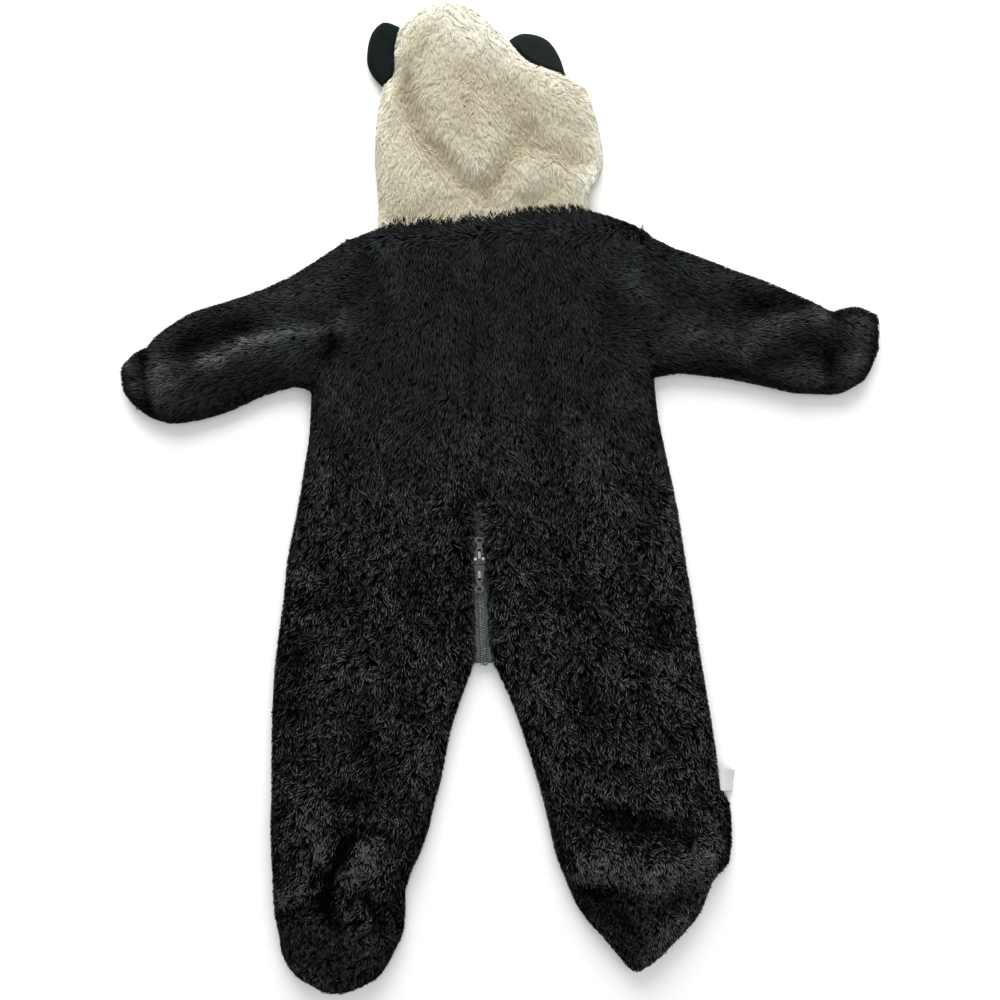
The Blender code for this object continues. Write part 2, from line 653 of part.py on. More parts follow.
def make_foot(side, collection):
    plan = foot_plan(side)
    sole = wall(lift(plan, BODY.top), lift(halved(plan), BODY.lining))
    add_object(f"sole_{side}", sole, "plush_black", collection)
    coarse = halved(plan)
    instep = wall(lift(coarse, BODY.bottom), lift(coarse, foot_height))
    add_object(f"instep_{side}", instep, "plush_black", collection)


# ---------------------------------------------------------------- sleeves
SLEEVE_MIDDLE = 3
FOLD_WALL = 9.0  # plan thickness of the sleeve's wall where it folds over


def sleeve_line(side, t):
    """Plan points across a flattened sleeve, from the underarm seam to the fold."""
    fold, under, share = sleeve_curves(side)(t)
    fold, under = Vector(fold), Vector(under)
    length = (fold - under).length
    line = []
    for place in spread(length, SLEEVE_MIDDLE):
        s = place / length
        point = under.lerp(fold, s)
        start_y = ARMHOLE[side][-1][0] * (1 - s) + ARMHOLE[side][0][0] * s
        chord_x = ARMHOLE[side][-1][1] * (1 - s) + ARMHOLE[side][0][1] * s
        point.x += (armhole_x[side](start_y) - chord_x) * share
        if t == 0:
            point.x += SIGN[side] * ARMHOLE_GAP / 2
        if t > 0.9:
            point += (Vector(cuff_point(side, s)) - Vector(cuff_chord(side, s))) * (t - 0.9) / 0.1
        line.append(tuple(point))
    return line


def cuff_chord(side, s):
    """The straight line under the hem's bulge."""
    fold, under, _ = sleeve_curves(side)(1.0)
    return tuple(Vector(under).lerp(Vector(fold), s))


def clear_of_fold(line):
    """The same points, kept a wall's thickness from the fold, for the inside of the sleeve."""
    under, fold = Vector(line[0]), Vector(line[-1])
    inside = []
    for point in line:
        point = Vector(point)
        room = (fold - point).length
        wanted = FOLD_WALL + room * 0.25
        if room < wanted:
            point = fold + (under - fold).normalized() * wanted
        inside.append(tuple(point))
    return inside


def make_sleeve(side, collection):
    places = even_steps(0, 0.78, 0.066) + even_steps(0.78, 0.94, 0.04)[1:] + [0.955, 0.97, 0.99, 1.0]
    outer, inner = [], []
    for index, t in enumerate(places):
        line = sleeve_line(side, t)
        above = [(x, y, BODY.top(x, y)) for x, y in line]
        below = [(x, y, BODY.bottom(x, y)) for x, y in line]
        turn = [(line[-1][0], line[-1][1], (above[-1][2] + below[-1][2]) / 2)]
        outer.append(above + turn + below[::-1])
        if index % 2 == 0:
            inside = clear_of_fold(line)[::2]
            over = [(x, y, BODY.lining(x, y)) for x, y in inside]
            under = [(x, y, UNDER_TOP) for x, y in inside]
            inner.append(over + under[::-1])
    bm = wall(outer, inner)
    return add_object(f"sleeve_{side}", bm, "plush_black", collection)


# ---------------------------------------------------------------- hood
def hood_levels():
    """Levels of the hood's rows from the neck to the crown."""
    base = 234.0
    rows = even_steps(base, 352, 6.6) + even_steps(352, 384, 5)[1:]
    rows += even_steps(384, HOOD_TOP_Y - 12, 7.5)[1:]
    return rows + [HOOD_TOP_Y - inset for inset in (8.0, 4.4, 1.8, 0.0)]


def hood_plan(side, levels, middle, inner_x, neck_gap):
    """Plan points of one side of the hood. The lowest row follows the neck seam."""
    plan = []
    base = levels[0]
    for level in levels:
        start, end = hood_side_x[side](level), inner_x(side, level)
        follow = max(0.0, 1 - (level - base) / 60)
        row = []
        for place in spread(abs(end - start), middle):
            x = start + place * (1 if end > start else -1)
            row.append((x, level + (neck_y(x) + neck_gap - base) * follow))
        plan.append(row)
    return plan


def hood_back_inner_x(side, level):
    return hood_seam_x(level) + SIGN[side] * GAP / 2


def hood_front_inner_x(side, level):
    """The edge of the face opening, or the seam above it."""
    reach = (level - FACE_CENTRE_Y) / FACE_HALF_HEIGHT
    half = FACE_HALF_WIDTH * math.sqrt(max(0.0, 1 - reach * reach))
    return hood_seam_x(level) + SIGN[side] * max(half, GAP / 2)


def make_hood(side, collection):
    levels = hood_levels()
    plan = hood_plan(side, levels, 7, hood_back_inner_x, GAP)
    back = wall(lift(plan, HOOD.top), lift(halved(plan), HOOD.lining), HOOD.top)
    add_object(f"hood_back_{side}", back, "plush_cream", collection)
    front_plan = [row[::2] for row in hood_plan(side, levels[::2], 1, hood_front_inner_x, HOOD_FRONT_GAP)]
    front = wall(lift(front_plan, HOOD.bottom), lift(front_plan, HOOD.under_top))
    add_object(f"hood_front_{side}", front, "plush_cream", collection)


def make_ear(side, collection):
    """A lightly filled velour ear, whose root meets the hood's edge."""
    rows = [(i, *row) for i, row in enumerate(EAR_SECTIONS[side])]
    columns = [smooth_table(rows, 0, c) for c in range(1, 5)]
    steps = [i * 0.5 for i in range(2 * len(rows) - 1)]
    sections = [[column(t) for column in columns] for t in steps]
    rim = [(rx, ry) for _, _, rx, ry in sections]
    rim = [(sections[0][0], sections[0][1])] + rim + [(sections[-1][0], sections[-1][1])]
    edge = segments(rim)
    upper, lower = [], []
    for root_x, root_y, rim_x, rim_y in sections:
        root, tip = Vector((root_x, root_y)), Vector((rim_x, rim_y))
        away = (tip - root).normalized()
        root = root + away * EAR_GAP
        above, below = [], []
        for share in (0, 0.3, 0.55, 0.75, 0.9, 0.97, 1):
            point = root.lerp(tip, share)
            t = min(distances(*edge, point.x, point.y).min() / EAR_ROUND, 1)
            half = 0.5 + (EAR_HALF_THICK - 0.5) * math.sqrt(1 - (1 - t) ** 2)
            above.append((point.x, point.y, EAR_MIDDLE_Z + half))
            below.append((point.x, point.y, EAR_MIDDLE_Z - half))
        upper.append(above)
        lower.append(below)
    return add_object(f"ear_{side}", wall(upper, lower), "velour_black", collection)


# ---------------------------------------------------------------- zip
def zip_path(offset):
    """Places (y, z) along the zip at a height above the tape's outside, back, crotch, front."""
    turn_z = (TAPE_Z + TAPE_THICK + FRONT_TAPE_Z) / 2
    radius = (TAPE_Z + TAPE_THICK - FRONT_TAPE_Z) / 2 + offset
    turn_y = CROTCH_Y + 4.5
    back = [(y, turn_z + radius) for y in even_steps(ZIP_TOP_Y - 6, turn_y, 12)]
    turn = []
    for step in range(1, 6):
        angle = math.radians(90 + 180 * step / 6)
        turn.append((turn_y + radius * math.cos(angle), turn_z + radius * math.sin(angle)))
    front = [(y, turn_z - radius) for y in even_steps(turn_y, 232.0, 24)]
    return back + turn + front


def slit_half(y, z):
    """Half the slit between the tapes, wider on the back round the sliders' posts."""
    if z < SEAM_Z:
        return TAPE_GAP
    near = abs(y - (HINGE_Y["upper"] + HINGE_Y["lower"]) / 2)
    return float(np.interp(near, (6.0, 14.0), (SPLIT_HALF, TAPE_GAP)))


def tape_edge(y, z):
    """Half the tape's width, which narrows before it turns under the crotch."""
    if z < SEAM_Z:
        return ZIP_HALF - GAP
    return float(np.interp(y, (CROTCH_Y + 8, CROTCH_Y + 30), (ZIP_HALF - GAP, TAPE_HALF)))


def make_tape(side, collection):
    outside, inside = zip_path(0.0), zip_path(-TAPE_THICK)
    grids = []
    for path in (outside, inside):
        grid = []
        for y, z in path:
            middle = centre_x(max(y, CROTCH_Y))
            near, far = slit_half(y, z), tape_edge(y, z)
            grid.append([(middle + SIGN[side] * half, y, z) for half in (near, far)])
        grids.append(grid)
    return add_object(f"tape_{side}", wall(*grids), "zip_tape", collection)


def chain_strip(name, keep, collection):
    """The closed teeth as one strip along the stretch of the zip that `keep` picks."""
    low, high = zip_path(GAP), zip_path(GAP + CHAIN_THICK)
    grids = []
    for path in (high, low):
        grid = []
        for y, z in path:
            if keep(y, z):
                middle = centre_x(max(y, CROTCH_Y))
                grid.append([(middle + half, y, z) for half in (-CHAIN_HALF, CHAIN_HALF)])
        grids.append(grid)
    return add_object(name, wall(*grids), "zip_plastic", collection)


# ---------------------------------------------------------------- sliders and pulls
def box(bm, x0, x1, y0, y1, z0, z1):
    """A box between two corners."""
    middle = Vector(((x0 + x1) / 2, (y0 + y1) / 2, (z0 + z1) / 2))
    size = Vector((abs(x1 - x0), abs(y1 - y0), abs(z1 - z0)))
    made = bmesh.ops.create_cube(bm, size=1.0)["verts"]
    bmesh.ops.scale(bm, vec=size, verts=made)
    bmesh.ops.translate(bm, vec=middle, verts=made)
    return made


def prism(outline, z0, z1, holes=()):
    """A flat shape with holes, as a mesh between two heights."""
    bm = bmesh.new()
    loops = [outline, *holes]
    edges = []
    for loop in loops:
        verts = [bm.verts.new((x, y, z0)) for x, y in loop]
        edges += [bm.edges.new((verts[i - 1], verts[i])) for i in range(len(verts))]
    bmesh.ops.triangle_fill(bm, use_beauty=True, edges=edges, normal=(0, 0, 1))
    made = bmesh.ops.extrude_face_region(bm, geom=bm.faces[:])["geom"]
    top = [item for item in made if isinstance(item, bmesh.types.BMVert)]
    bmesh.ops.translate(bm, vec=(0, 0, z1 - z0), verts=top)
    return bm


def joined(name, meshes, material, collection):
    """A solid made of several overlapping closed meshes."""
    first = None
    for index, bm in enumerate(meshes):
        piece = add_object(f"{name}_{index}", bm, material, collection, smooth=False)
        if first is None:
            first = piece
            continue
        union = first.modifiers.new("union", "BOOLEAN")
        union.operation = "UNION"
        union.object = piece
        bpy.context.view_layer.update()
        graph = bpy.context.evaluated_depsgraph_get()
        mesh = bpy.data.meshes.new_from_object(first.evaluated_get(graph))
        first.modifiers.clear()
        first.data = mesh
        bpy.data.objects.remove(piece)
    first.name = name
    return first


def slider_outline(which, shoulder, tail, inset):
    """A slider plate in plan: broad shoulders at its nose, a narrower tail."""
    way = -POINTING[which]
    hinge = HINGE_Y[which]
    nose, end = hinge + way * (NOSE_REACH - inset), hinge - way * (TAIL_REACH - inset)
    waist = hinge + way * 2.0
    half = [(tail, end), (tail + 0.4, waist), (shoulder, nose - way * 3.2), (shoulder, nose - way * 1.0),
            (shoulder - 1.6, nose)]
    right = [(SLIDER_X + x, y) for x, y in half]
    left = [(SLIDER_X - x, y) for x, y in reversed(half)]
    return right + left


def make_slider(which, collection):
    """A slider: two plates, side flanges, a post between the tapes, and the bridge for the pull."""
    way = -POINTING[which]
    hinge = HINGE_Y[which]
    plate_top = TOP_PLATE_Z + PLATE_THICK
    top = prism(slider_outline(which, SHOULDER_HALF, TAIL_HALF, 0), TOP_PLATE_Z, plate_top)
    bottom = prism(slider_outline(which, SHOULDER_HALF - 0.8, TAIL_HALF - 0.6, 0.6),
                   BOTTOM_PLATE_Z, BOTTOM_PLATE_Z + BOTTOM_PLATE_THICK)
    flanges = []
    for sign in (-1, 1):
        bm = bmesh.new()
        edge = SLIDER_X + sign * TAIL_HALF
        box(bm, edge, edge - sign * 0.9, hinge - way * TAIL_REACH, hinge + way * 3.0,
            TAPE_Z + TAPE_THICK + GAP, TOP_PLATE_Z + 0.4)
        flanges.append(bm)
    post = bmesh.new()
    nose = hinge + way * NOSE_REACH
    box(post, SLIDER_X - POST_HALF, SLIDER_X + POST_HALF, nose - way * 1.4, nose - way * 4.4,
        BOTTOM_PLATE_Z + 0.4, TOP_PLATE_Z + 0.4)
    roof = HINGE_Z + PIN_RADIUS + 0.35
    bridge = bmesh.new()
    box(bridge, SLIDER_X - BRIDGE_HALF, SLIDER_X + BRIDGE_HALF, hinge - BRIDGE_REACH, hinge + BRIDGE_REACH,
        roof, roof + BRIDGE_ROOF)
    legs = []
    for sign in (-1, 1):
        bm = bmesh.new()
        foot = hinge + sign * BRIDGE_REACH
        box(bm, SLIDER_X - BRIDGE_HALF, SLIDER_X + BRIDGE_HALF, foot, foot - sign * 1.0,
            plate_top - 0.4, roof + 0.4)
        legs.append(bm)
    return joined(f"slider_{which}", [top, *flanges, post, bottom, *legs, bridge], "zip_metal", collection)


def arc(cx, cy, rx, ry, start, end, count):
    """Points along part of an ellipse, in degrees."""
    angles = [math.radians(start + (end - start) * i / count) for i in range(count + 1)]
    return [(cx + rx * math.cos(a), cy + ry * math.sin(a)) for a in angles]


def make_pull(which, collection):
    """A pull tab: its stirrup's bar passes under the bridge, and a ring ends it. It turns on the bar."""
    way = POINTING[which]
    ring_y = PULL_LENGTH - RING_OUTER * 0.75
    right = [(STIRRUP_HALF, PIN_RADIUS * 0.6), (STIRRUP_HALF, SLOT_END + 0.6)]
    right += [(TAB_HALF, SLOT_END + 2.0), (TAB_HALF, ring_y - 3.2)]
    ring = arc(0, ring_y, RING_OUTER, RING_OUTER * 0.75, -40, 220, 14)
    outline = right + ring + [(-x, y) for x, y in reversed(right)]
    slot_half = STIRRUP_HALF - STIRRUP_BAR + 0.05
    slot_y = PIN_RADIUS * 0.6 + 0.4
    slot = [(-slot_half, slot_y), (slot_half, slot_y), (slot_half, SLOT_END), (-slot_half, SLOT_END)]
    hole = arc(0, ring_y, RING_HOLE, RING_HOLE * 0.62, 0, 330, 11)
    tab = prism([(x, y * way) for x, y in outline], -PULL_THICK / 2, PULL_THICK / 2,
                ([(x, y * way) for x, y in slot], [(x, y * way) for x, y in hole]))
    pin = bmesh.new()
    bmesh.ops.create_cone(pin, cap_ends=True, segments=10, radius1=PIN_RADIUS, radius2=PIN_RADIUS,
                          depth=2 * STIRRUP_HALF)
    bmesh.ops.rotate(pin, cent=(0, 0, 0), matrix=Matrix.Rotation(math.pi / 2, 3, "Y"), verts=pin.verts)
    pull = joined(f"pull_{which}", [tab, pin], "zip_metal", collection)
    pull.location = Vector((SLIDER_X, HINGE_Y[which], HINGE_Z)) * MM
    return pull


# ---------------------------------------------------------------- care label
def make_label(collection):
    """A blank satin label, sewn into the side seam and drooping to the floor."""
    root_top, far_top, far_low, root_low = (Vector(corner) for corner in LABEL_CORNERS)
    upper, lower = [], []
    for step, height in enumerate(LABEL_Z):
        share = step / (len(LABEL_Z) - 1)
        first, last = root_top.lerp(far_top, share), root_low.lerp(far_low, share)
        points = [first.lerp(last, k / 2) for k in range(3)]
        upper.append([(p.x, p.y, height + LABEL_THICK) for p in points])
        lower.append([(p.x, p.y, height) for p in points])
    return add_object("care_label", wall(upper, lower), "label_satin", collection)


# ---------------------------------------------------------------- the garment
def main():
    for thing in list(bpy.data.objects):
        bpy.data.objects.remove(thing)
    collection = bpy.data.collections.new(COLLECTION)
    bpy.context.scene.collection.children.link(collection)
    for side in ("left", "right"):
        make_back(side, collection)
        make_front(side, collection)
        make_foot(side, collection)
        make_sleeve(side, collection)
        make_hood(side, collection)
        make_ear(side, collection)
        make_tape(side, collection)
    upper_end = HINGE_Y["upper"] + TAIL_REACH + GAP
    lower_start = HINGE_Y["lower"] - TAIL_REACH - GAP
    chain_strip("chain_upper", lambda y, z: z > SEAM_Z and y > upper_end, collection)
    chain_strip("chain_lower", lambda y, z: z < SEAM_Z or y < lower_start, collection)
    for which in ("upper", "lower"):
        make_slider(which, collection)
        make_pull(which, collection)
    make_label(collection)


main()
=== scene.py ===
"""The looks of a panda onesie laid flat with its back up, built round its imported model.

Every plush panel is a backing on its solid's form, drawn in a little, under a pile of separate
strands that stand in locks. The ears, the zip's tapes and teeth, and the label are pieces of
their own, and the sliders and their pulls show their solids. Lengths are in millimetres and
become metres where a mesh is made. "left" and "right" are as seen from above.
"""
import math
from dataclasses import dataclass

import bmesh
import bpy
import numpy as np
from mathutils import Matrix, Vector
from mathutils.bvhtree import BVHTree
from mathutils.kdtree import KDTree


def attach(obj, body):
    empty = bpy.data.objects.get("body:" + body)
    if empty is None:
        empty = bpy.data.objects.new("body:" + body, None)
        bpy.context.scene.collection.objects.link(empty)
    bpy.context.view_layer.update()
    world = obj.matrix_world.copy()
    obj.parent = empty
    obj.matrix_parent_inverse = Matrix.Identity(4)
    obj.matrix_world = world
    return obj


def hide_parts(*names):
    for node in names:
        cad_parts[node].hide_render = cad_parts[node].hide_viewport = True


MM = 0.001
SEED = 29
UV_NAME = "OFBake"

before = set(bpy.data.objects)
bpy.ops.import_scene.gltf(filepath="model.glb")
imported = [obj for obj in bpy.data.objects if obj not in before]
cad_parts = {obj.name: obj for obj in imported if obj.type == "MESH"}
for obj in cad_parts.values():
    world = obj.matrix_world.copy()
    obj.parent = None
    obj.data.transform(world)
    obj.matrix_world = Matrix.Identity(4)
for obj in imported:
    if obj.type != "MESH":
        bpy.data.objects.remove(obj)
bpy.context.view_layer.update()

BODY_PANELS = ("back_left", "back_right", "front_left", "front_right",
               "sole_left", "sole_right", "instep_left", "instep_right")
SLEEVES = ("sleeve_left", "sleeve_right")
HOOD_PANELS = ("hood_back_left", "hood_back_right", "hood_front_left", "hood_front_right")
PLUSH = BODY_PANELS + SLEEVES + HOOD_PANELS
EARS = ("ear_left", "ear_right")

SEAM_Z = 9.0  # where the upper and the lower layer meet
OUTLINE_REACH = 10.0  # how far in from the outline a panel is drawn in
OUTLINE_DRAW = 0.4  # how far it is drawn in at the outline
HOOD_DRAW = 1.8  # the same for the hood's upper panels, whose pile stands out past them
EDGE_FRAY, HOOD_FRAY = 0.05, 0.8  # how far pile points outwards at the outline, as a share
TIP_OVER = 0.7  # how far tips may pass the outline
PILE_DEPTH = 2.4  # how far the upper side is drawn down
FLOOR_PILE = 1.1  # room for the pressed pile underneath
NECK_Y = 243.0
NECK_RIDGE = ((-101, 243), (-56, 248), (-7, 252), (35, 257), (74, 260))
MIDDLE_X = -10.0  # the body's middle, as it lies
ZIP_X = -18.0  # the zip's middle, near its sliders
ZIP_SLIT = 12.0  # half the strip in which the panels' edges face the zip
CROTCH_Y, ZIP_TOP = -146.6, 2.0  # where the back's opening begins and ends
FEET_Y, CROWN_Y = -430.0, 430.0
ABOVE_ALL = 90.0  # the height that rays come down from
DOWN = (0, 0, -1)
SEAM_CHECKS = (-1.6, 1.6, 5.0)  # ways out from an edge at which rays look for cloth
LOCKS_APART = 0.68  # the least way from lock to lock, as a share of a cell's side
RIM_REACH = 22.0  # how far in from the outline the pile knows of it
RIM_PILE = 9.0  # how far in it lies along the outline
HELD_IN = 8.0  # how far in strands are held back from passing it
ROOT_DEPTH = 0.5  # of a strand's root in the backing
LEAST_Z = 0.15  # of a strand, to stay above the floor
TOP_EDGE, UNDER_EDGE = 6.5, 11.0  # a backing's longest edges
MOST_STRANDS = 40000  # in one mesh
LEAST_PILED = 60.0  # square millimetres of a panel that show and are worth a pile

# small creases on the upper side: half-width, rise (negative in a trough), path in plan
CREASES = (
    ("left shoulder trough", 6, -2.7, (-118, 214), (-104, 190), (-98, 160)),
    ("left side trough", 7, -2.5, (-150, 70), (-138, 30), (-140, -10)),
    ("left waist ridge", 6, 2.0, (-120, 20), (-84, 8)),
    ("left seat trough", 7, -2.9, (-104, -60), (-70, -76), (-44, -72)),
    ("left hip trough", 6, -2.7, (-178, -84), (-150, -92), (-120, -88)),
    ("left thigh ridge", 7, 2.2, (-150, -150), (-112, -160)),
    ("left thigh trough", 6, -3.1, (-92, -176), (-66, -196)),
    ("left knee trough", 6, -3.1, (-188, -214), (-150, -222), (-120, -216)),
    ("left calf trough", 5, -2.7, (-96, -256), (-76, -268)),
    ("left ankle ridge", 6, 3.4, (-192, -286), (-170, -270), (-140, -262)),
    ("left heel dimple", 5, -3.4, (-160, -318), (-150, -326)),
    ("left toe trough", 6, -3.4, (-176, -372), (-160, -382)),
    ("left toe ridge", 7, 2.7, (-130, -366), (-116, -384)),
    ("centre trough", 6, -2.0, (-22, 150), (-26, 108), (-18, 70)),
    ("right shoulder trough", 6, -2.5, (104, 210), (92, 178), (94, 150)),
    ("right back trough", 7, -2.2, (30, 120), (42, 84), (40, 50)),
    ("right side trough", 7, -2.5, (132, 60), (122, 20), (130, -20)),
    ("right waist ridge", 6, 2.0, (92, 4), (124, -8)),
    ("right seat trough", 7, -2.7, (30, -78), (60, -90), (88, -84)),
    ("right thigh trough", 6, -2.7, (104, -140), (134, -152), (160, -146)),
    ("right knee trough", 6, -3.1, (70, -222), (98, -238), (124, -234)),
    ("right calf ridge", 6, 2.4, (130, -262), (166, -270)),
    ("right heel dimple", 6, -3.1, (110, -318), (124, -330)),
    ("right toe trough", 6, -2.7, (92, -372), (112, -388)),
    ("left elbow creases", 4, -2.4, (-196, 158), (-206, 136)),
    ("left forearm trough", 5, -2.7, (-262, 108), (-290, 100)),
    ("left cuff pleat high", 2.6, -3.4, (-310, 120), (-322, 117)),
    ("left cuff pleat low", 2.6, -3.4, (-305, 84), (-315, 82)),
    ("right elbow creases", 4, -2.4, (176, 168), (190, 150)),
    ("right forearm trough", 5, -2.7, (222, 118), (250, 114)),
    ("right cuff pleat high", 2.8, -3.4, (300, 158), (318, 156)),
    ("right cuff pleat low", 2.8, -3.4, (298, 106), (312, 103)),
    ("hood crown dimple", 6, -2.7, (-56, 402), (-48, 388)),
    ("hood left trough", 6, -2.5, (-98, 340), (-92, 312)),
    ("hood left ridge", 6, 2.7, (-84, 326), (-70, 296)),
    ("hood low trough", 6, -1.4, (-64, 262), (-40, 258)),
    ("hood neck ridge", 2.6, 1.4, *NECK_RIDGE),
    ("hood middle dimple", 6, -3.1, (-34, 316), (-22, 300)),
    ("hood right trough", 6, -2.7, (54, 326), (72, 316)),
    ("hood right ridge", 6, 2.7, (48, 286), (68, 274)),
)
# the same underneath, where a trough rises off the floor
UNDER_CREASES = (
    ("left chest trough", 8, 1.2, (-120, 180), (-90, 150)),
    ("left belly trough", 9, 1.5, (-130, 60), (-96, 30), (-60, 36)),
    ("left hip trough", 8, 1.4, (-176, -60), (-140, -84)),
    ("left thigh trough", 9, 1.6, (-160, -160), (-110, -176)),
    ("left shin trough", 9, 1.6, (-150, -250), (-104, -262)),
    ("right chest trough", 8, 1.2, (60, 190), (92, 160)),
    ("right belly trough", 9, 1.5, (44, 60), (86, 40), (120, 48)),
    ("right hip trough", 8, 1.4, (110, -60), (150, -76)),
    ("right thigh trough", 9, 1.6, (70, -170), (130, -186)),
    ("right shin trough", 9, 1.6, (90, -262), (140, -270)),
    ("left arm trough", 7, 1.4, (-220, 150), (-226, 110)),
    ("right arm trough", 7, 1.4, (220, 160), (214, 120)),
)

# name, half-width, tone, path in plan: painted light and shade on the pile, lighter on ridges, edges and
# tufts that catch the light, darker in creases, hollows and valleys
PAINTED_LIGHT_AND_SHADE = (
    ("right leg's outer side", 9, 0.16, (146, 60), (158, -60), (172, -150), (188, -240)),
    ("right hip painted shade", 15, -0.20, (136, -108), (142, -118)),
    ("right hip painted highlight", 8, 0.14, (140, -140), (160, -168)),
    ("right inner thigh", 10, 0.12, (38, -160), (52, -190)),
    ("right thigh shade", 13, -0.16, (66, -166), (88, -196)),
    ("right heel left tuft", 7, 0.26, (74, -310), (84, -316)),
    ("right heel middle tuft", 8, 0.3, (128, -330), (144, -327)),
    ("right heel hollow", 8, -0.08, (108, -306), (150, -302)),
    ("right heel corner", 9, 0.28, (172, -306), (186, -296)),
    ("right ankle shade", 8, -0.08, (86, -276), (136, -286)),
    ("right ankle valley", 5, -0.12, (87, -272), (108, -279), (135, -282), (157, -290)),
    ("right heel dark", 9, -0.22, (100, -334), (80, -342)),
    ("right heel tuft", 7, 0.12, (126, -340), (148, -338)),
    ("right sole", 13, -0.22, (94, -354), (112, -372)),
    ("right sole's upper edge", 7, 0.28, (100, -346), (126, -349), (156, -344)),
    ("right sole's side", 10, 0.27, (176, -344), (146, -376), (124, -404)),
    ("right back painted highlight", 13, 0.08, (78, 60), (84, -40)),
    ("above the zip", 7, 0.12, (-24, 60), (-24, 0)),
    ("zip's right side", 9, 0.09, (-2, -10), (2, -120)),
    ("left outer thigh", 24, -0.13, (-180, -90), (-176, -190)),
    ("left inner thigh", 18, -0.12, (-56, -60), (-60, -100)),
    ("left knee shade", 12, -0.13, (-122, -196), (-110, -236), (-140, -258)),
    ("left flap painted highlight", 6, 0.22, (-192, -352), (-176, -341), (-160, -336)),
    ("left heel cheek", 9, 0.3, (-118, -304), (-126, -326)),
    ("left heel arc", 5, 0.26, (-190, -304), (-170, -284), (-148, -274), (-118, -272), (-94, -280)),
    ("left ankle shade", 5, -0.18, (-186, -272), (-160, -262), (-120, -258)),
    ("left heel crease", 6, -0.5, (-124, -287), (-136, -303), (-145, -326), (-152, -344), (-143, -367)),
    ("left heel hollow", 8, -0.22, (-128, -290), (-141, -316)),
    ("left heel upper shade", 5, -0.3, (-182, -312), (-165, -294), (-146, -284), (-112, -284), (-88, -294)),
    ("left arch shade", 6, -0.3, (-130, -332), (-112, -346), (-104, -368)),
    ("left flap shade", 5, -0.2, (-196, -364), (-178, -352), (-160, -348)),
    ("left heel fur", 8, 0.14, (-158, -300), (-150, -312)),
    ("left toe side", 7, 0.18, (-120, -352), (-112, -368)),
    ("left sole", 18, -0.03, (-168, -378), (-146, -388), (-132, -378)),
    ("left calf", 12, 0.08, (-172, -240), (-160, -262)),
    ("left sleeve ridge", 4.5, 0.2, (-138, 151), (-190, 141), (-216, 134), (-250, 118), (-284, 98)),
    ("left sleeve ridge's top", 10, -0.2, (-232, 132), (-250, 128)),
    ("left sleeve hollow", 10, -0.05, (-232, 156), (-262, 146), (-272, 132)),
    ("left cuff", 12, 0.10, (-292, 112), (-296, 96)),
    ("left cuff crease", 3.5, -0.26, (-309, 126), (-304, 100), (-301, 76)),
    ("left cuff tip", 6, 0.2, (-320, 116), (-316, 96)),
    ("left armpit", 7, 0.14, (-156, 143), (-152, 132)),
    ("left upper sleeve", 16, 0.1, (-160, 184), (-200, 168)),
    ("right sleeve hollow", 9, -0.1, (204, 176), (232, 168), (256, 164)),
    ("right sleeve ridge", 9, 0.1, (150, 146), (190, 142)),
    ("right sleeve ridge's top", 9, -0.14, (208, 138), (220, 134)),
    ("right fold's edge", 3, 0.14, (214, 146), (236, 154), (262, 160)),
    ("right cuff", 8, 0.02, (296, 154), (306, 150)),
    ("right cuff shade", 13, -0.08, (252, 130), (278, 118)),
    ("right shoulder", 12, 0.10, (108, 200), (120, 176)),
    ("upper back", 36, -0.02, (-70, 190), (20, 196)),
    ("centre back seam", 4.5, 0.13, (-18, 232), (-18, 120), (-18, 10)),
    ("left sleeve ridge's end", 5.5, 0.17, (-219, 136), (-180, 142), (-142, 147)),
    ("left armpit crease", 4, -0.14, (-160, 122), (-142, 131)),
    ("hood crown", 26, 0.24, (-56, 418), (-20, 402)),
    ("hood left bulge", 12, 0.05, (-90, 292), (-84, 276)),
    ("hood right bulge", 9, -0.07, (14, 292), (24, 288)),
    ("hood ear bulge", 12, 0.12, (36, 366), (46, 360)),
    ("hood V's left arm", 2.6, -0.62, (-86, 360), (-81, 341), (-71, 318), (-59, 303), (-48, 291), (-30, 273)),
    ("hood V's right arm", 3.2, -0.75, (-12, 266), (-4, 278), (4, 294), (14, 308), (22, 318)),
    ("hood right valley", 4.5, -0.3, (22, 310), (40, 306), (64, 291)),
    ("hood lower right", 3.5, -0.2, (23, 260), (38, 268), (55, 280)),
    ("hood centre crease", 2.5, -0.2, (-31, 342), (-26, 327)),
    ("hood crown's crest", 9, 0.24, (-54, 424), (-14, 404), (12, 378)),
    ("hood middle lobe", 9, 0.14, (-14, 322), (2, 313)),
    ("hood V's right top", 6, 0.08, (20, 332), (10, 316)),
    ("hood right cheek", 8, 0.14, (46, 273), (74, 284)),
    ("hood lower left", 9, -0.08, (-86, 274), (-82, 270)),
    ("hood crown valley", 6, -0.18, (-86, 356), (-77, 380), (-62, 409)),
    ("hood slanting valley", 7, -0.16, (-30, 371), (-15, 359), (2, 345), (26, 324)),
    ("hood left edge", 9, 0.05, (-104, 330), (-104, 250)),
    ("hood right edge", 12, 0.20, (78, 340), (84, 300), (80, 272)),
    ("hood middle", 26, -0.12, (-40, 360), (-20, 330)),
    ("hood neck ridge", 3, 0.16, *NECK_RIDGE),
)


# ---- numbers
def smooth_step(t):
    t = np.clip(t, 0.0, 1.0)
    return t * t * (3 - 2 * t)


def unit(vectors):
    length = np.linalg.norm(vectors, axis=-1, keepdims=True)
    return vectors / np.maximum(length, 1e-9)


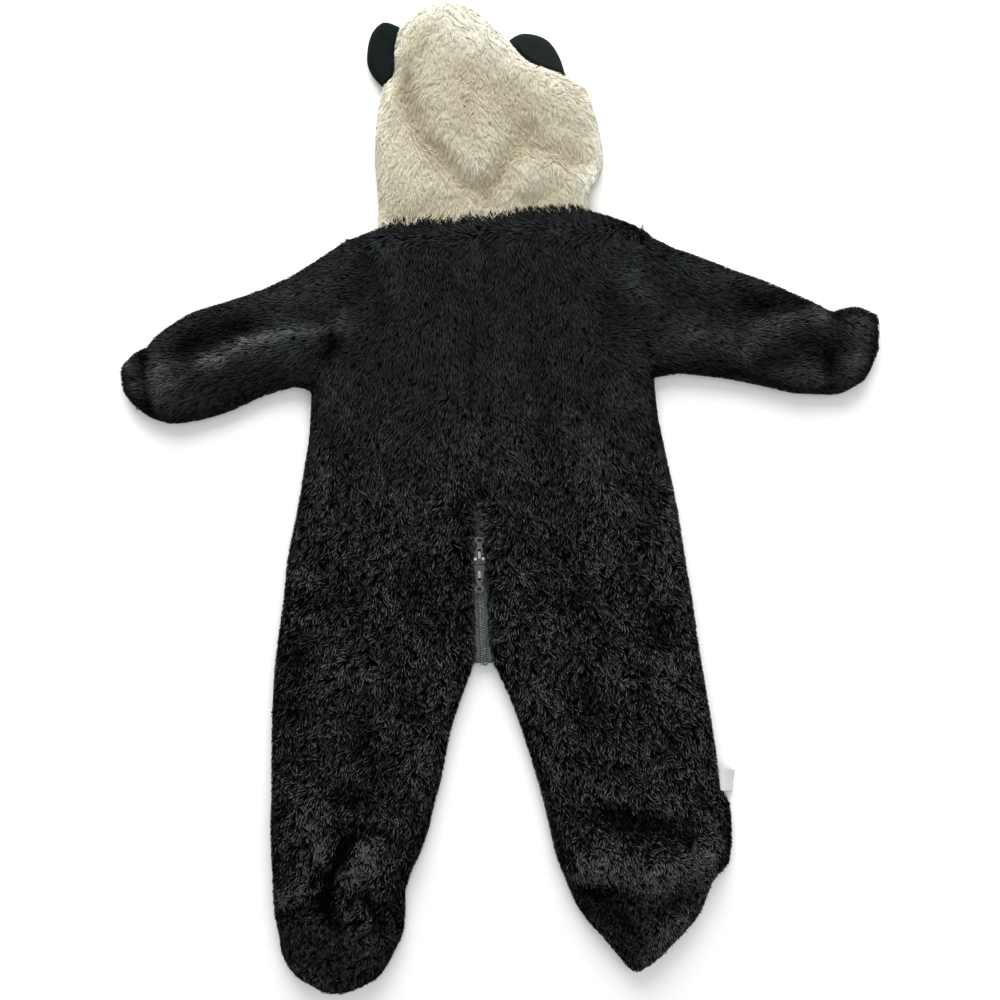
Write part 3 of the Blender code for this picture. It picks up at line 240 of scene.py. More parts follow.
def waves(places, size, seed, count=7):
    """A smooth uneven field from about -1 to 1, whose humps are this size."""
    rng = np.random.default_rng(seed)
    field = np.zeros(len(places))
    for _ in range(count):
        way, phase = rng.uniform(0, 2 * math.pi, 2)
        pitch = 2 * math.pi / (size * rng.uniform(0.7, 1.6))
        along = places[:, 0] * math.cos(way) + places[:, 1] * math.sin(way)
        field += np.sin(along * pitch + phase)
    return field * 1.4 / count


def path_distance(path, places):
    """Each place's distance in plan from a path of straight stretches."""
    best = np.full(len(places), 1e9)
    for a, b in zip(np.array(path[:-1], float), np.array(path[1:], float), strict=True):
        run = b - a
        t = np.clip((places - a) @ run / (run @ run), 0, 1)
        best = np.minimum(best, np.linalg.norm(places - a - t[:, None] * run, axis=1))
    return best


def along_paths(places, table):
    """The sum of what a table's paths add at each place, less and less away from them."""
    total = np.zeros(len(places))
    for _, width, most, *path in table:
        reach = path_distance(path, places[:, :2]) / width
        total += most * np.exp(-reach * reach)
    return total


def lengths_along(line):
    """How far along a line each of its points is."""
    return np.concatenate([[0], np.cumsum(np.linalg.norm(np.diff(line, axis=0), axis=1))])


def at_length(line, along, where):
    """A line's places at these lengths along it."""
    return np.stack([np.interp(where, along, line[:, axis]) for axis in range(3)], -1)


def tube_faces(first, rings, sides, flip=False):
    """The triangles of a closed tube whose rings of points follow one another from this index."""
    faces = []
    for start in range(first, first + (rings - 1) * sides, sides):
        for corner in range(sides):
            a = start + corner
            b = start + (corner + 1) % sides
            faces += [(a, b, b + sides), (a, b + sides, a + sides)]
    last = first + (rings - 1) * sides
    for corner in range(1, sides - 1):
        faces += [(first, first + corner + 1, first + corner), (last, last + corner, last + corner + 1)]
    return [face[::-1] for face in faces] if flip else faces


def ring(middle, across, up):
    """The points of an oval ring round a place, from its two half axes."""
    angles = [2 * math.pi * corner / ROUND_SIDES for corner in range(ROUND_SIDES)]
    return [middle + math.cos(angle) * across + math.sin(angle) * up for angle in angles]


# ---- solids as arrays
def solid_of(node):
    """A node's points in millimetres, welded, and its triangles."""
    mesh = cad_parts[node].data
    points = np.empty(len(mesh.vertices) * 3)
    mesh.vertices.foreach_get("co", points)
    points = points.reshape(-1, 3) / MM
    mesh.calc_loop_triangles()
    faces = np.empty(len(mesh.loop_triangles) * 3, np.int32)
    mesh.loop_triangles.foreach_get("vertices", faces)
    _, first, back = np.unique((points * 1000).round().astype(np.int64), axis=0,
                               return_index=True, return_inverse=True)
    faces = back.reshape(-1)[faces].reshape(-1, 3)
    whole = (faces[:, 0] != faces[:, 1]) & (faces[:, 1] != faces[:, 2]) & (faces[:, 2] != faces[:, 0])
    return points[first], faces[whole]


def bmesh_of(points, faces):
    bm = bmesh.new()
    verts = [bm.verts.new(p) for p in points]
    for a, b, c in faces:
        try:
            bm.faces.new((verts[a], verts[b], verts[c]))
        except ValueError:
            pass
    bm.normal_update()
    return bm


def arrays_of(bm):
    bm.verts.ensure_lookup_table()
    bm.verts.index_update()
    points = np.array([v.co[:] for v in bm.verts])
    faces = np.array([[v.index for v in f.verts] for f in bm.faces], np.int32)
    return points, faces


def face_normals(points, faces):
    a, b, c = (points[faces[:, i]] for i in range(3))
    cross = np.cross(b - a, c - a)
    area = np.linalg.norm(cross, axis=1) / 2
    return unit(cross), area, (a + b + c) / 3


def refine(bm, longest, under=None):
    """Splits edges longer than this, or than the second length on the underside."""
    for _ in range(4):
        bm.normal_update()
        edges = []
        for edge in bm.edges:
            low = under and all(face.normal.z < -0.3 for face in edge.link_faces)
            if edge.calc_length() > (under if low else longest):
                edges.append(edge)
        if not edges:
            return
        bmesh.ops.subdivide_edges(bm, edges=edges, cuts=1)
        bmesh.ops.triangulate(bm, faces=[f for f in bm.faces if len(f.verts) > 3],
                              quad_method="SHORT_EDGE")


def relax_top(bm, passes):
    """Evens out the facets of the upper side, and leaves its borders alone."""
    bm.normal_update()
    inner = [v for v in bm.verts if v.normal.z > 0.5 and all(f.normal.z > 0.25 for f in v.link_faces)]
    for _ in range(passes):
        bmesh.ops.smooth_vert(bm, verts=inner, factor=0.5, use_axis_z=True)


def fine_form(node, longest, under=None, passes=0):
    """A solid's form with shorter edges: its points, its triangles and its points' normals."""
    bm = bmesh_of(*solid_of(node))
    refine(bm, longest, under)
    if passes:
        relax_top(bm, passes)
    points, faces = arrays_of(bm)
    normals = np.array([v.normal[:] for v in bm.verts])
    bm.free()
    return points, faces, normals


# ---- the garment's outline
class Outline:
    """The cloth's outline in plan, with its outward directions."""

    def __init__(self, solids):
        points = np.vstack([p for p, _ in solids])
        shift = np.cumsum([0] + [len(p) for p, _ in solids[:-1]])
        faces = np.vstack([f + s for (_, f), s in zip(solids, shift, strict=True)])
        tree = BVHTree.FromPolygons(points.tolist(), faces.tolist())
        normals, _, _ = face_normals(points, faces)
        sides = {}
        for index, face in enumerate(faces):
            for a, b in ((0, 1), (1, 2), (2, 0)):
                pair = (face[a], face[b])
                sides.setdefault((min(pair), max(pair)), []).append(index)
        spots, ways = [], []
        for (a, b), near in sides.items():
            levels = normals[near, 2]
            # the outline runs where a face that looks up meets one that doesn't
            if len(near) < 2 or levels.min() > 0.02 or levels.max() <= 0.01:
                continue
            way = unit(normals[near, :2].sum(0))
            middle = (points[a] + points[b]) / 2
            if abs(middle[0] - ZIP_X) < ZIP_SLIT and CROTCH_Y + 3 < middle[1] < NECK_Y + 8:
                continue
            # cloth lies within and the floor without: a seam's gap is no outline
            hits = [tree.ray_cast((*(middle[:2] + way * far), ABOVE_ALL), DOWN)[0] for far in SEAM_CHECKS]
            if [hit is not None for hit in hits] != [True, False, False]:
                continue
            length = np.linalg.norm(points[b] - points[a])
            for t in np.linspace(0, 1, int(length / 2.0) + 2):
                spots.append(points[a] * (1 - t) + points[b] * t)
                ways.append(way)
        self.ways = np.array(ways)
        self.spots = np.array(spots)[:, :2]
        self.tree = KDTree(len(spots))
        for index, spot in enumerate(self.spots):
            self.tree.insert((*spot, 0.0), index)
        self.tree.balance()

    def near(self, places, reach):
        """Distance in from the outline and the way out, where that is within reach."""
        depth = np.full(len(places), reach)
        ways = np.zeros((len(places), 2))
        for index, place in enumerate(places):
            found = self.tree.find_n((place[0], place[1], 0.0), 5)
            if found and found[0][2] < reach:
                depth[index] = found[0][2]
                ways[index] = self.ways[[f[1] for f in found]].sum(0)
        return depth, unit(ways)

    def held_in(self, strips):
        """Moves the points of strands that pass the outline too far back towards it."""
        flat = strips.reshape(-1, 3)
        for place in flat:
            _, index, _ = self.tree.find((place[0], place[1], 0.0))
            past = (place[:2] - self.spots[index]) @ self.ways[index] - TIP_OVER
            if past > 0:
                place[:2] -= self.ways[index] * past
        return flat.reshape(strips.shape)


def drawn_in(points, outline, most):
    """Draws cloth in from its solid's outside, by this much at the outline, to leave room for the pile."""
    points = points.copy()
    depth, ways = outline.near(points[:, :2], OUTLINE_REACH)
    draw = most * (1 - depth / OUTLINE_REACH) ** 2
    points[:, :2] -= ways * draw[:, None]
    z = points[:, 2]
    upper = smooth_step((z - SEAM_Z) / 9)
    lower = smooth_step((SEAM_Z - z) / 9)
    points[:, 2] = z - PILE_DEPTH * upper + FLOOR_PILE * lower
    return points


# ---- making objects
def mesh_object(name, points, faces, material, uvs=None):
    """A triangle mesh in metres from arrays in millimetres."""
    mesh = bpy.data.meshes.new(name)
    mesh.vertices.add(len(points))
    mesh.vertices.foreach_set("co", (np.asarray(points) * MM).astype(np.float32).ravel())
    mesh.loops.add(len(faces) * 3)
    mesh.loops.foreach_set("vertex_index", np.asarray(faces, np.int32).ravel())
    mesh.polygons.add(len(faces))
    mesh.polygons.foreach_set("loop_start", np.arange(len(faces), dtype=np.int32) * 3)
    mesh.update(calc_edges=True)
    if uvs is not None:
        layer = mesh.uv_layers.new(name=UV_NAME)
        layer.uv.foreach_set("vector", uvs.astype(np.float32).ravel())
    mesh.shade_smooth()
    mesh.materials.append(material)
    obj = bpy.data.objects.new(name, mesh)
    bpy.context.scene.collection.objects.link(obj)
    return obj


def dress(piece, node=None):
    """Puts a piece in the garment's body, in place of a node's solid if one is named."""
    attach(piece, "garment")
    if node:
        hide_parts(node)


# ---- materials
def new_material(name, roughness, specular=0.5, metallic=0.0, sheen=0.0):
    material = bpy.data.materials.new(name)
    material.use_nodes = True
    shader = material.node_tree.nodes["Principled BSDF"]
    values = {"Roughness": roughness, "Specular IOR Level": specular, "Metallic": metallic,
              "Sheen Weight": sheen, "Sheen Roughness": 0.4}
    for key, value in values.items():
        shader.inputs[key].default_value = value
    return material, material.node_tree, shader


def add_node(tree, kind, inputs, **properties):
    """A shader node with these properties, whose inputs hold a value or are linked to a socket."""
    node = tree.nodes.new(f"ShaderNode{kind}")
    for key, value in properties.items():
        setattr(node, key, value)
    for key, value in inputs.items():
        if isinstance(value, bpy.types.NodeSocket):
            tree.links.new(value, node.inputs[key])
        else:
            node.inputs[key].default_value = value
    return node


def ramp(tree, stops, source):
    node = add_node(tree, "ValToRGB", {"Fac": source})
    elements = node.color_ramp.elements
    while len(elements) < len(stops):
        elements.new(0.5)
    for element, (place, colour) in zip(elements, stops, strict=True):
        element.position = place
        element.color = (*colour, 1)
    return node.outputs["Color"]


def greys(*stops):
    """A ramp's stops from pairs of a place and a brightness."""
    return [(place, (level,) * 3) for place, level in stops]


def mixed(tree, factor, a, b, blend="MIX"):
    return add_node(tree, "Mix", {"Factor": factor, "A": a, "B": b},
                    data_type="RGBA", blend_type=blend).outputs["Result"]


def stretched(tree, value, low, high, to_low=0.0, to_high=1.0):
    """A value's range, in metres, made into another."""
    inputs = {"Value": value, "From Min": low, "From Max": high, "To Min": to_low, "To Max": to_high}
    return add_node(tree, "MapRange", inputs).outputs["Result"]


def clouds(tree, place, scale, detail, rough=0.5):
    inputs = {"Vector": place, "Scale": scale, "Detail": detail, "Roughness": rough}
    return add_node(tree, "TexNoise", inputs).outputs["Fac"]


def own_place(tree):
    """The place on the object and its three parts."""
    place = add_node(tree, "TexCoord", {}).outputs["Object"]
    return place, add_node(tree, "SeparateXYZ", {0: place}).outputs


def finished(material, tree, shader, colour, height=None, strength=0.0, distance=0.0):
    """Links a material's colour, and its fine relief if it has one."""
    tree.links.new(colour, shader.inputs["Base Color"])
    if height:
        relief = add_node(tree, "Bump", {"Height": height, "Strength": strength, "Distance": distance})
        tree.links.new(relief.outputs["Normal"], shader.inputs["Normal"])
    return material


def pile_material(name, root, tones, tints, roughness, specular):
    """Plush strands: across the map the tone changes, and up the map it goes from a painted shade at the root
    to the tone at the tip.

    The tints follow one another unevenly from the feet to the crown.
    """
    material, tree, shader = new_material(name, roughness, specular)
    on_map = add_node(tree, "UVMap", {}, uv_map=UV_NAME).outputs["UV"]
    split = add_node(tree, "SeparateXYZ", {0: on_map}).outputs
    strand = mixed(tree, ramp(tree, ROOT_SHADE_TO_TIP, split["Y"]), (*root, 1), ramp(tree, tones, split["X"]))
    place, parts = own_place(tree)
    height = stretched(tree, parts["Y"], FEET_Y * MM, CROWN_Y * MM, -0.15, 0.85)
    uneven = add_node(tree, "Math", {0: clouds(tree, place, 14, 1), 1: 0.3, 2: height},
                      operation="MULTIPLY_ADD").outputs["Value"]
    return finished(material, tree, shader, mixed(tree, 1, strand, ramp(tree, tints, uneven), "MULTIPLY"))


def cloth_material(name, dark, light, roughness, scale, bump, sheen=0.0, specular=0.3):
    """Knitted or woven cloth: a mottled colour and a fine bump, both in the cloth's own place."""
    material, tree, shader = new_material(name, roughness, specular, sheen=sheen)
    place, _ = own_place(tree)
    colour = ramp(tree, ((0.3, dark), (0.7, light)), clouds(tree, place, scale, 5))
    loops = add_node(tree, "TexVoronoi", {"Vector": place, "Scale": scale * 8})
    return finished(material, tree, shader, colour, loops.outputs["Distance"], bump, 0.0006)


# strands darken towards the root: painted shade deep in the pile
ROOT_SHADE_TO_TIP = greys((0.0, 0), (0.36, 0.3), (0.74, 0.9), (1.0, 1))
BLACK_TONES = greys((0.0, 0.0008), (0.25, 0.0055), (0.45, 0.0165), (0.65, 0.036), (0.85, 0.072), (1.0, 0.14))
CREAM_TONES = ((0.0, (0.30, 0.245, 0.17)), (0.2, (0.41, 0.36, 0.25)), (0.4, (0.485, 0.448, 0.318)),
               (0.6, (0.60, 0.577, 0.448)), (0.8, (0.73, 0.72, 0.61)), (1.0, (0.88, 0.88, 0.80)))
BLACK_TINTS = ((0.05, (0.90, 1.0, 0.98)), (0.35, (1.0, 0.97, 0.95)), (0.55, (1.0, 0.90, 0.90)),
               (0.70, (0.88, 0.96, 1.0)))
CREAM_TINTS = ((0.7, (1.0, 0.985, 0.965)), (1.0, (1.0, 1.0, 1.0)))
BLACK_PILE = pile_material("black pile", (0.0006, 0.0006, 0.0006), BLACK_TONES, BLACK_TINTS,
                           roughness=0.6, specular=0.0)
CREAM_PILE = pile_material("cream pile", (0.66, 0.62, 0.48), CREAM_TONES, CREAM_TINTS,
                           roughness=0.8, specular=0.1)
BLACK_BACKING = cloth_material("black backing", (0.0006, 0.0006, 0.0006), (0.0016, 0.0016, 0.0016),
                               0.95, 120, 0.5, specular=0.0)
CREAM_BACKING = cloth_material("cream backing", (0.66, 0.62, 0.49), (0.71, 0.68, 0.55),
                               0.95, 120, 0.5, specular=0.1)
# one velour for both ears, in two copies: the left one darker, painted shade for the ear that the light
# reaches less
VELOURS = {
    "ear_left": cloth_material("left velour in painted shade", (0.0045, 0.0075, 0.0072), (0.0068, 0.0105, 0.0100),
                               0.95, 260, 0.35, sheen=0.03, specular=0.06),
    "ear_right": cloth_material("right velour", (0.0078, 0.0105, 0.0105), (0.0108, 0.0140, 0.0140),
                                0.95, 260, 0.35, sheen=0.05, specular=0.1),
}
TAPE_WEAVE = cloth_material("tape weave", (0.060, 0.072, 0.072), (0.112, 0.132, 0.131), 0.85, 420, 0.5,
                            specular=0.2)
SATIN = cloth_material("label satin", (0.56, 0.57, 0.56), (0.66, 0.67, 0.65), 0.45, 300, 0.25, specular=0.5)


# ---- the upper side's folds
def blurred(field, weight, size):
    """A field blurred by a bell this many cells wide, weighted."""
    reach = int(3 * size)
    bell = np.exp(-0.5 * (np.arange(-reach, reach + 1) / size) ** 2)
    out = []
    for layer in (field * weight, weight):
        for axis in (0, 1):
            layer = np.apply_along_axis(np.convolve, axis, layer, bell, mode="same")
        out.append(layer)
    return out[0] / np.maximum(out[1], 1e-6)


def closed(field):
    """A field whose grooves up to two cells wide are filled, as pile hides a seam's groove."""
    for best in (np.maximum, np.minimum):
        for axis in (0, 1):
            field = best(best(field, np.roll(field, 1, axis)), np.roll(field, -1, axis))
    return field


class Relief:
    """The upper side as a height map: its folds, and the ways that it leans."""

    CELL = 3.0
    HALF_SPAN = np.array([345.0, 450.0])

    def __init__(self, tree):
        self.low = -self.HALF_SPAN
        nx, ny = (2 * self.HALF_SPAN / self.CELL).astype(int)
        height, inside = np.zeros((nx, ny)), np.zeros((nx, ny))
        for i in range(nx):
            for j in range(ny):
                x, y = self.low + (i * self.CELL, j * self.CELL)
                if abs(x - ZIP_X) < ZIP_SLIT and CROTCH_Y < y < ZIP_TOP:
                    continue
                hit = tree.ray_cast((x, y, ABOVE_ALL), DOWN)[0]
                if hit is not None:
                    height[i, j], inside[i, j] = hit.z, 1.0
        height = closed(height)
        fine = blurred(height, inside, 1.0)
        self.fold = (fine - blurred(height, inside, 5.0)) * inside
        slope = np.gradient(blurred(height, inside, 1.4), self.CELL)
        self.lean = np.stack([-slope[0], -slope[1]], 2)

    def at(self, places, field):
        """The field between its cells' corners."""
        grid = (places[:, :2] - self.low) / self.CELL
        whole = np.clip(np.floor(grid).astype(int), 0, np.array(field.shape[:2]) - 2)
        part = np.clip(grid - whole, 0, 1)
        if field.ndim == 3:
            part = part[:, :, None]
        i, j = whole.T
        left = field[i, j] * (1 - part[:, 1]) + field[i, j + 1] * part[:, 1]
        right = field[i + 1, j] * (1 - part[:, 1]) + field[i + 1, j + 1] * part[:, 1]
        return left * (1 - part[:, 0]) + right * part[:, 0]


# ---- backings
class Panel:
    """A panel's backing as arrays, with how each of its faces shows."""

    def __init__(self, node, outline):
        points, faces, normals = fine_form(node, TOP_EDGE, UNDER_EDGE, passes=2)
        top = smooth_step((normals[:, 2] - 0.3) / 0.4) * (points[:, 2] > SEAM_Z + 2.5)
        under = (points[:, 2] < 0.6) & (normals[:, 2] < -0.5)
        points[:, 2] += top * (along_paths(points, CREASES) + 0.7 * waves(points, 22, 5))
        points[:, 2] += under * along_paths(points, UNDER_CREASES)
        self.node = node
        self.points = drawn_in(points, outline, HOOD_DRAW if node.startswith("hood_back") else OUTLINE_DRAW)
        self.faces = faces
        self.normals, self.area, self.centres = face_normals(self.points, faces)
        self.kind = None
        self.curliness = hood_curliness if node in HOOD_PANELS else body_curliness
        self.soft = self.point_normals()

    def point_normals(self):
        total = np.zeros_like(self.points)
        for corner in range(3):
            np.add.at(total, self.faces[:, corner], self.normals * self.area[:, None])
        return unit(total)

    def mark_shown(self, tree):
        """Marks the garment's outside: 1 up, 2 sideways, 3 down, and 0 where cloth covers it."""
        self.kind = np.zeros(len(self.faces), int)
        for index, (n, c) in enumerate(zip(self.normals, self.centres, strict=True)):
            over = tree.ray_cast(c + (0, 0, 0.2) + n * 0.1, (0, 0, 1))
            in_fold = c[2] > SEAM_Z + 2 and (over[0] is None or over[3] < 1.5)
            if n[2] > 0.3:
                self.kind[index] = over[0] is None or in_fold
            elif n[2] < -0.3:
                self.kind[index] = 3 if c[2] < 8.0 else 0
            elif in_fold or tree.ray_cast(c + n * 0.15, n, 3.0)[0] is None:
                self.kind[index] = 2

    def scatter(self, kinds, cell, rng):
        """Places evenly apart on faces of these kinds: about one for each cell, and fewer where curly."""
        picked = np.flatnonzero(np.isin(self.kind, kinds))
        total = np.cumsum(self.area[picked])
        count = int(4 * total[-1] / cell)
        at = (np.arange(count) + rng.random(count)) * total[-1] / count
        which = picked[np.searchsorted(total, at).clip(0, len(picked) - 1)]
        u, v = rng.random((2, count))
        flip = u + v > 1
        u[flip], v[flip] = 1 - u[flip], 1 - v[flip]
        share = np.stack([1 - u - v, u, v], 1)
        corners = self.faces[which]
        spots = (self.points[corners] * share[:, :, None]).sum(1)
        apart = LOCKS_APART * np.sqrt(cell / np.minimum(1.25 - 0.45 * self.curliness(spots), 1))
        tree = KDTree(count)
        for index, spot in enumerate(spots):
            tree.insert(spot, index)
        tree.balance()
        kept = np.ones(count, bool)
        for index in rng.permutation(count):
            if kept[index]:
                for _, near, _ in tree.find_range(spots[index], apart[index]):
                    kept[near] = near == index
        normals = unit((self.soft[corners[kept]] * share[kept][:, :, None]).sum(1))
        return spots[kept], normals, self.kind[which[kept]]


# ---- pile
@dataclass
class Pile:
    """How one kind of plush stands: sizes in millimetres, angles in degrees."""

    cell: float  # square millimetres for each lock
    strands: int  # side by side in a lock
    length: float
    width: float
    pitch: float  # from strand to strand in a lock
    lift: float
    bend: float
    spread: float  # how wide a lock is at its tips, as a share of its roots
    gloss: float  # how much a strand shades by its own turn
    lean: float  # how strongly the pile shows the cloth's slopes
    level: float  # the middle tone
    # edge is painted light along the outline; fold is painted shade in troughs and painted highlight on
    # ridges
    edge: float  # how much lighter the outline is
    contrast: float  # of the tones from strand to strand
    fold: float  # tone for each millimetre above or below the cloth round it
    seed: int
    stray: float = 0.26  # how far a lock's way strays from the nap's
    roll: float = 0.4


def sleeve_flow(places):
    """Out along the sleeves and a little down, to each side's own hem."""
    return np.where((places[:, 0] < 0)[:, None], (-0.94, -0.34), (0.97, -0.24))


def body_flow(places):
    """Down the body and a little outwards; over the seams at the arms, neck and middle, and over the zip."""
    x, y = places.T
    way = np.stack([0.42 * (x - MIDDLE_X) / 150, np.full(len(x), -1.0)], 1)
    arm = (smooth_step((np.abs(x - MIDDLE_X) - 82) / 34) * smooth_step((y - 96) / 44))[:, None]
    way = way * (1 - arm) + sleeve_flow(places) * arm
    up = smooth_step((y + 5 * waves(places, 26, 31) - NECK_Y + 30) / 30)
    way = turned(unit(way), -2.7 * up)
    # beside the zip the pile leans over its tapes, more so above its lower slider
    beside = (x - ZIP_X) / 9.0
    over = np.exp(-(beside ** 2) / 3) * smooth_step((6 - y) / 8) * smooth_step((y + 156) / 10)
    over *= 0.15 + 1.35 * smooth_step((y + 88) / 12)
    return way + np.stack([-1.7 * np.sign(beside) * over, np.zeros(len(x))], 1)


def hood_flow(places):
    x, y = places.T
    away = unit(np.stack([x + 44, y - 470], 1))
    # tufts some 12 mm wide part and meet
    return turned(0.8 * away + np.array([0.0, -0.3]), 0.55 * waves(places, 12, 46))


def turned(way, angle):
    return np.stack([way[:, 0] * np.cos(angle) - way[:, 1] * np.sin(angle),
                     way[:, 0] * np.sin(angle) + way[:, 1] * np.cos(angle)], 1)


def hood_curliness(places):
    return 0.72 + 0.15 * waves(places, 40, 61)


def body_curliness(places):
    """How curly the pile is: smooth on shoulders and sleeves, more so down the body."""
    down = smooth_step((165 - places[:, 1]) / 260)
    arm = smooth_step((np.abs(places[:, 0] - MIDDLE_X) - 130) / 25) * smooth_step((places[:, 1] - 30) / 40)
    return 0.3 + 0.7 * down * (1 - 0.7 * arm)


# a strand's places after its root: share of its length, of its height, of its width, of a curl and of a wave
STRAND = ((0.34, 0.62, 1.0, 0.45, 0.9), (0.70, 1.0, 0.85, 0.85, -0.3), (1.0, 0.92, 0.0, 0.8, -0.8))
STRAND_POINTS = 6
STRAND_FACES = np.array([[0, 1, 2], [1, 3, 4], [1, 4, 2], [3, 5, 4]])
ACROSS_MAP = np.array([0, -0.006, 0.006, -0.006, 0.006, 0])
UP_MAP = np.array([0, 0.36, 0.36, 0.74, 0.74, 1.0])


def lock_ways(spots, normal, curl, rim, out, flow, pile, fray, rng):
    """The way in which each lock lies on the cloth."""
    turn = 0.5 * waves(spots, 80, 11) + curl * (0.8 * waves(spots, 26, 12) + 0.9 * waves(spots, 11, 13))
    turn = turn + curl * rng.normal(0, pile.stray, len(spots)) * (1 - 0.6 * rim)
    way = turned(unit(flow(spots[:, :2])), turn)
    # at the outline the pile lies along it
    outward = (way * out).sum(1, keepdims=True) - fray
    way = unit(way - 0.95 * rim[:, None] * outward * out)
    way = np.column_stack([way, np.zeros(len(spots))])
    # a way out that the normal nearly points along is kept by leaning on the vertical
    return unit(way - (way * normal).sum(1, keepdims=True) * normal * 0.92)


def strips_of(root, nodes, half, above):
    """Each strand as the points of a narrow strip from its root to its tip, facing up from the cloth."""
    facing = (np.cross(nodes[0] - half - root, nodes[0] + half - root) * above).sum(1, keepdims=True)
    half = half * np.where(facing < 0, -1.0, 1.0)
    strip = [root]
    for node, (_, _, wide, _, _) in zip(nodes[:2], STRAND[:2], strict=True):
        strip += [node - half * wide, node + half * wide]
    strip = np.stack(strip + [nodes[2]], 1)
    strip[:, :, 2] = np.maximum(strip[:, :, 2], LEAST_Z)
    return strip


def ground_normals(spots, normal, kind, depth, pile, relief):
    """The normals of the cloth under the locks, leaning as its folds do, seams smoothed over."""
    flat = (smooth_step((depth - 4) / 8) * (kind == 1))[:, None]
    leaning = unit(np.column_stack([relief.at(spots, relief.lean) * pile.lean, np.ones(len(spots))]))
    return unit(normal * (1 - flat) + leaning * flat)


def lock_tones(spots, kind, depth, curl, pile, relief, rng):
    """How much lighter or darker each lock is than the pile's middle tone."""
    # painted shade in troughs and painted highlight on ridges, by how far the cloth lies below or above the
    # cloth round it
    fold = pile.fold * relief.at(spots, relief.fold).clip(-3, 5) * smooth_step(depth / 7)
    uneven = 0.4 * waves(spots, 34, 21) + 0.25 * waves(spots, 9, 22) + rng.normal(0, 0.2, len(spots))
    # painted light and shade along the table's paths, made uneven
    painted_tone = along_paths(spots, PAINTED_LIGHT_AND_SHADE) * (0.85 + 0.45 * waves(spots, 13, 51))
    # painted light along the outline, where the cloth rolls away from the light
    edge = pile.edge * smooth_step((15 - depth) / 12)
    return edge + (fold + painted_tone) * (kind < 3) + pile.contrast * uneven * curl - 0.06 * (1 - curl)


def strand_maps(tone, curl):
    """Each strand's places on the map: across by its tone, and up from its root to its tip."""
    u = tone[:, None] + ACROSS_MAP
    # curly pile parts and shows its roots in painted shade, smooth pile doesn't
    low = 0.02 + 0.5 * (1 - curl)[:, None]
    return np.stack([u, low + (0.98 - low) * UP_MAP], 2)


def strand_meshes(name, strips, maps, shade, material):
    """Strands as joined meshes, parted from the feet up where they are too many for one."""
    parts = max(1, math.ceil(len(strips) / MOST_STRANDS))
    made = []
    for index, chosen in enumerate(np.array_split(np.arange(len(strips)), parts)):
        first = np.arange(len(chosen))[:, None] * STRAND_POINTS
        faces = (first[:, :, None] + STRAND_FACES[None]).reshape(-1, 3)
        corners = maps[chosen].reshape(-1, 2)[faces.ravel()]
        label = f"{name}_{index + 1}" if parts > 1 else name
        strands = mesh_object(label, strips[chosen].reshape(-1, 3), faces, material, uvs=corners)
        around = np.repeat(shade[chosen], STRAND_POINTS, axis=0)
        strands.data.normals_split_custom_set_from_vertices(around.tolist())
        made.append(strands)
    return made


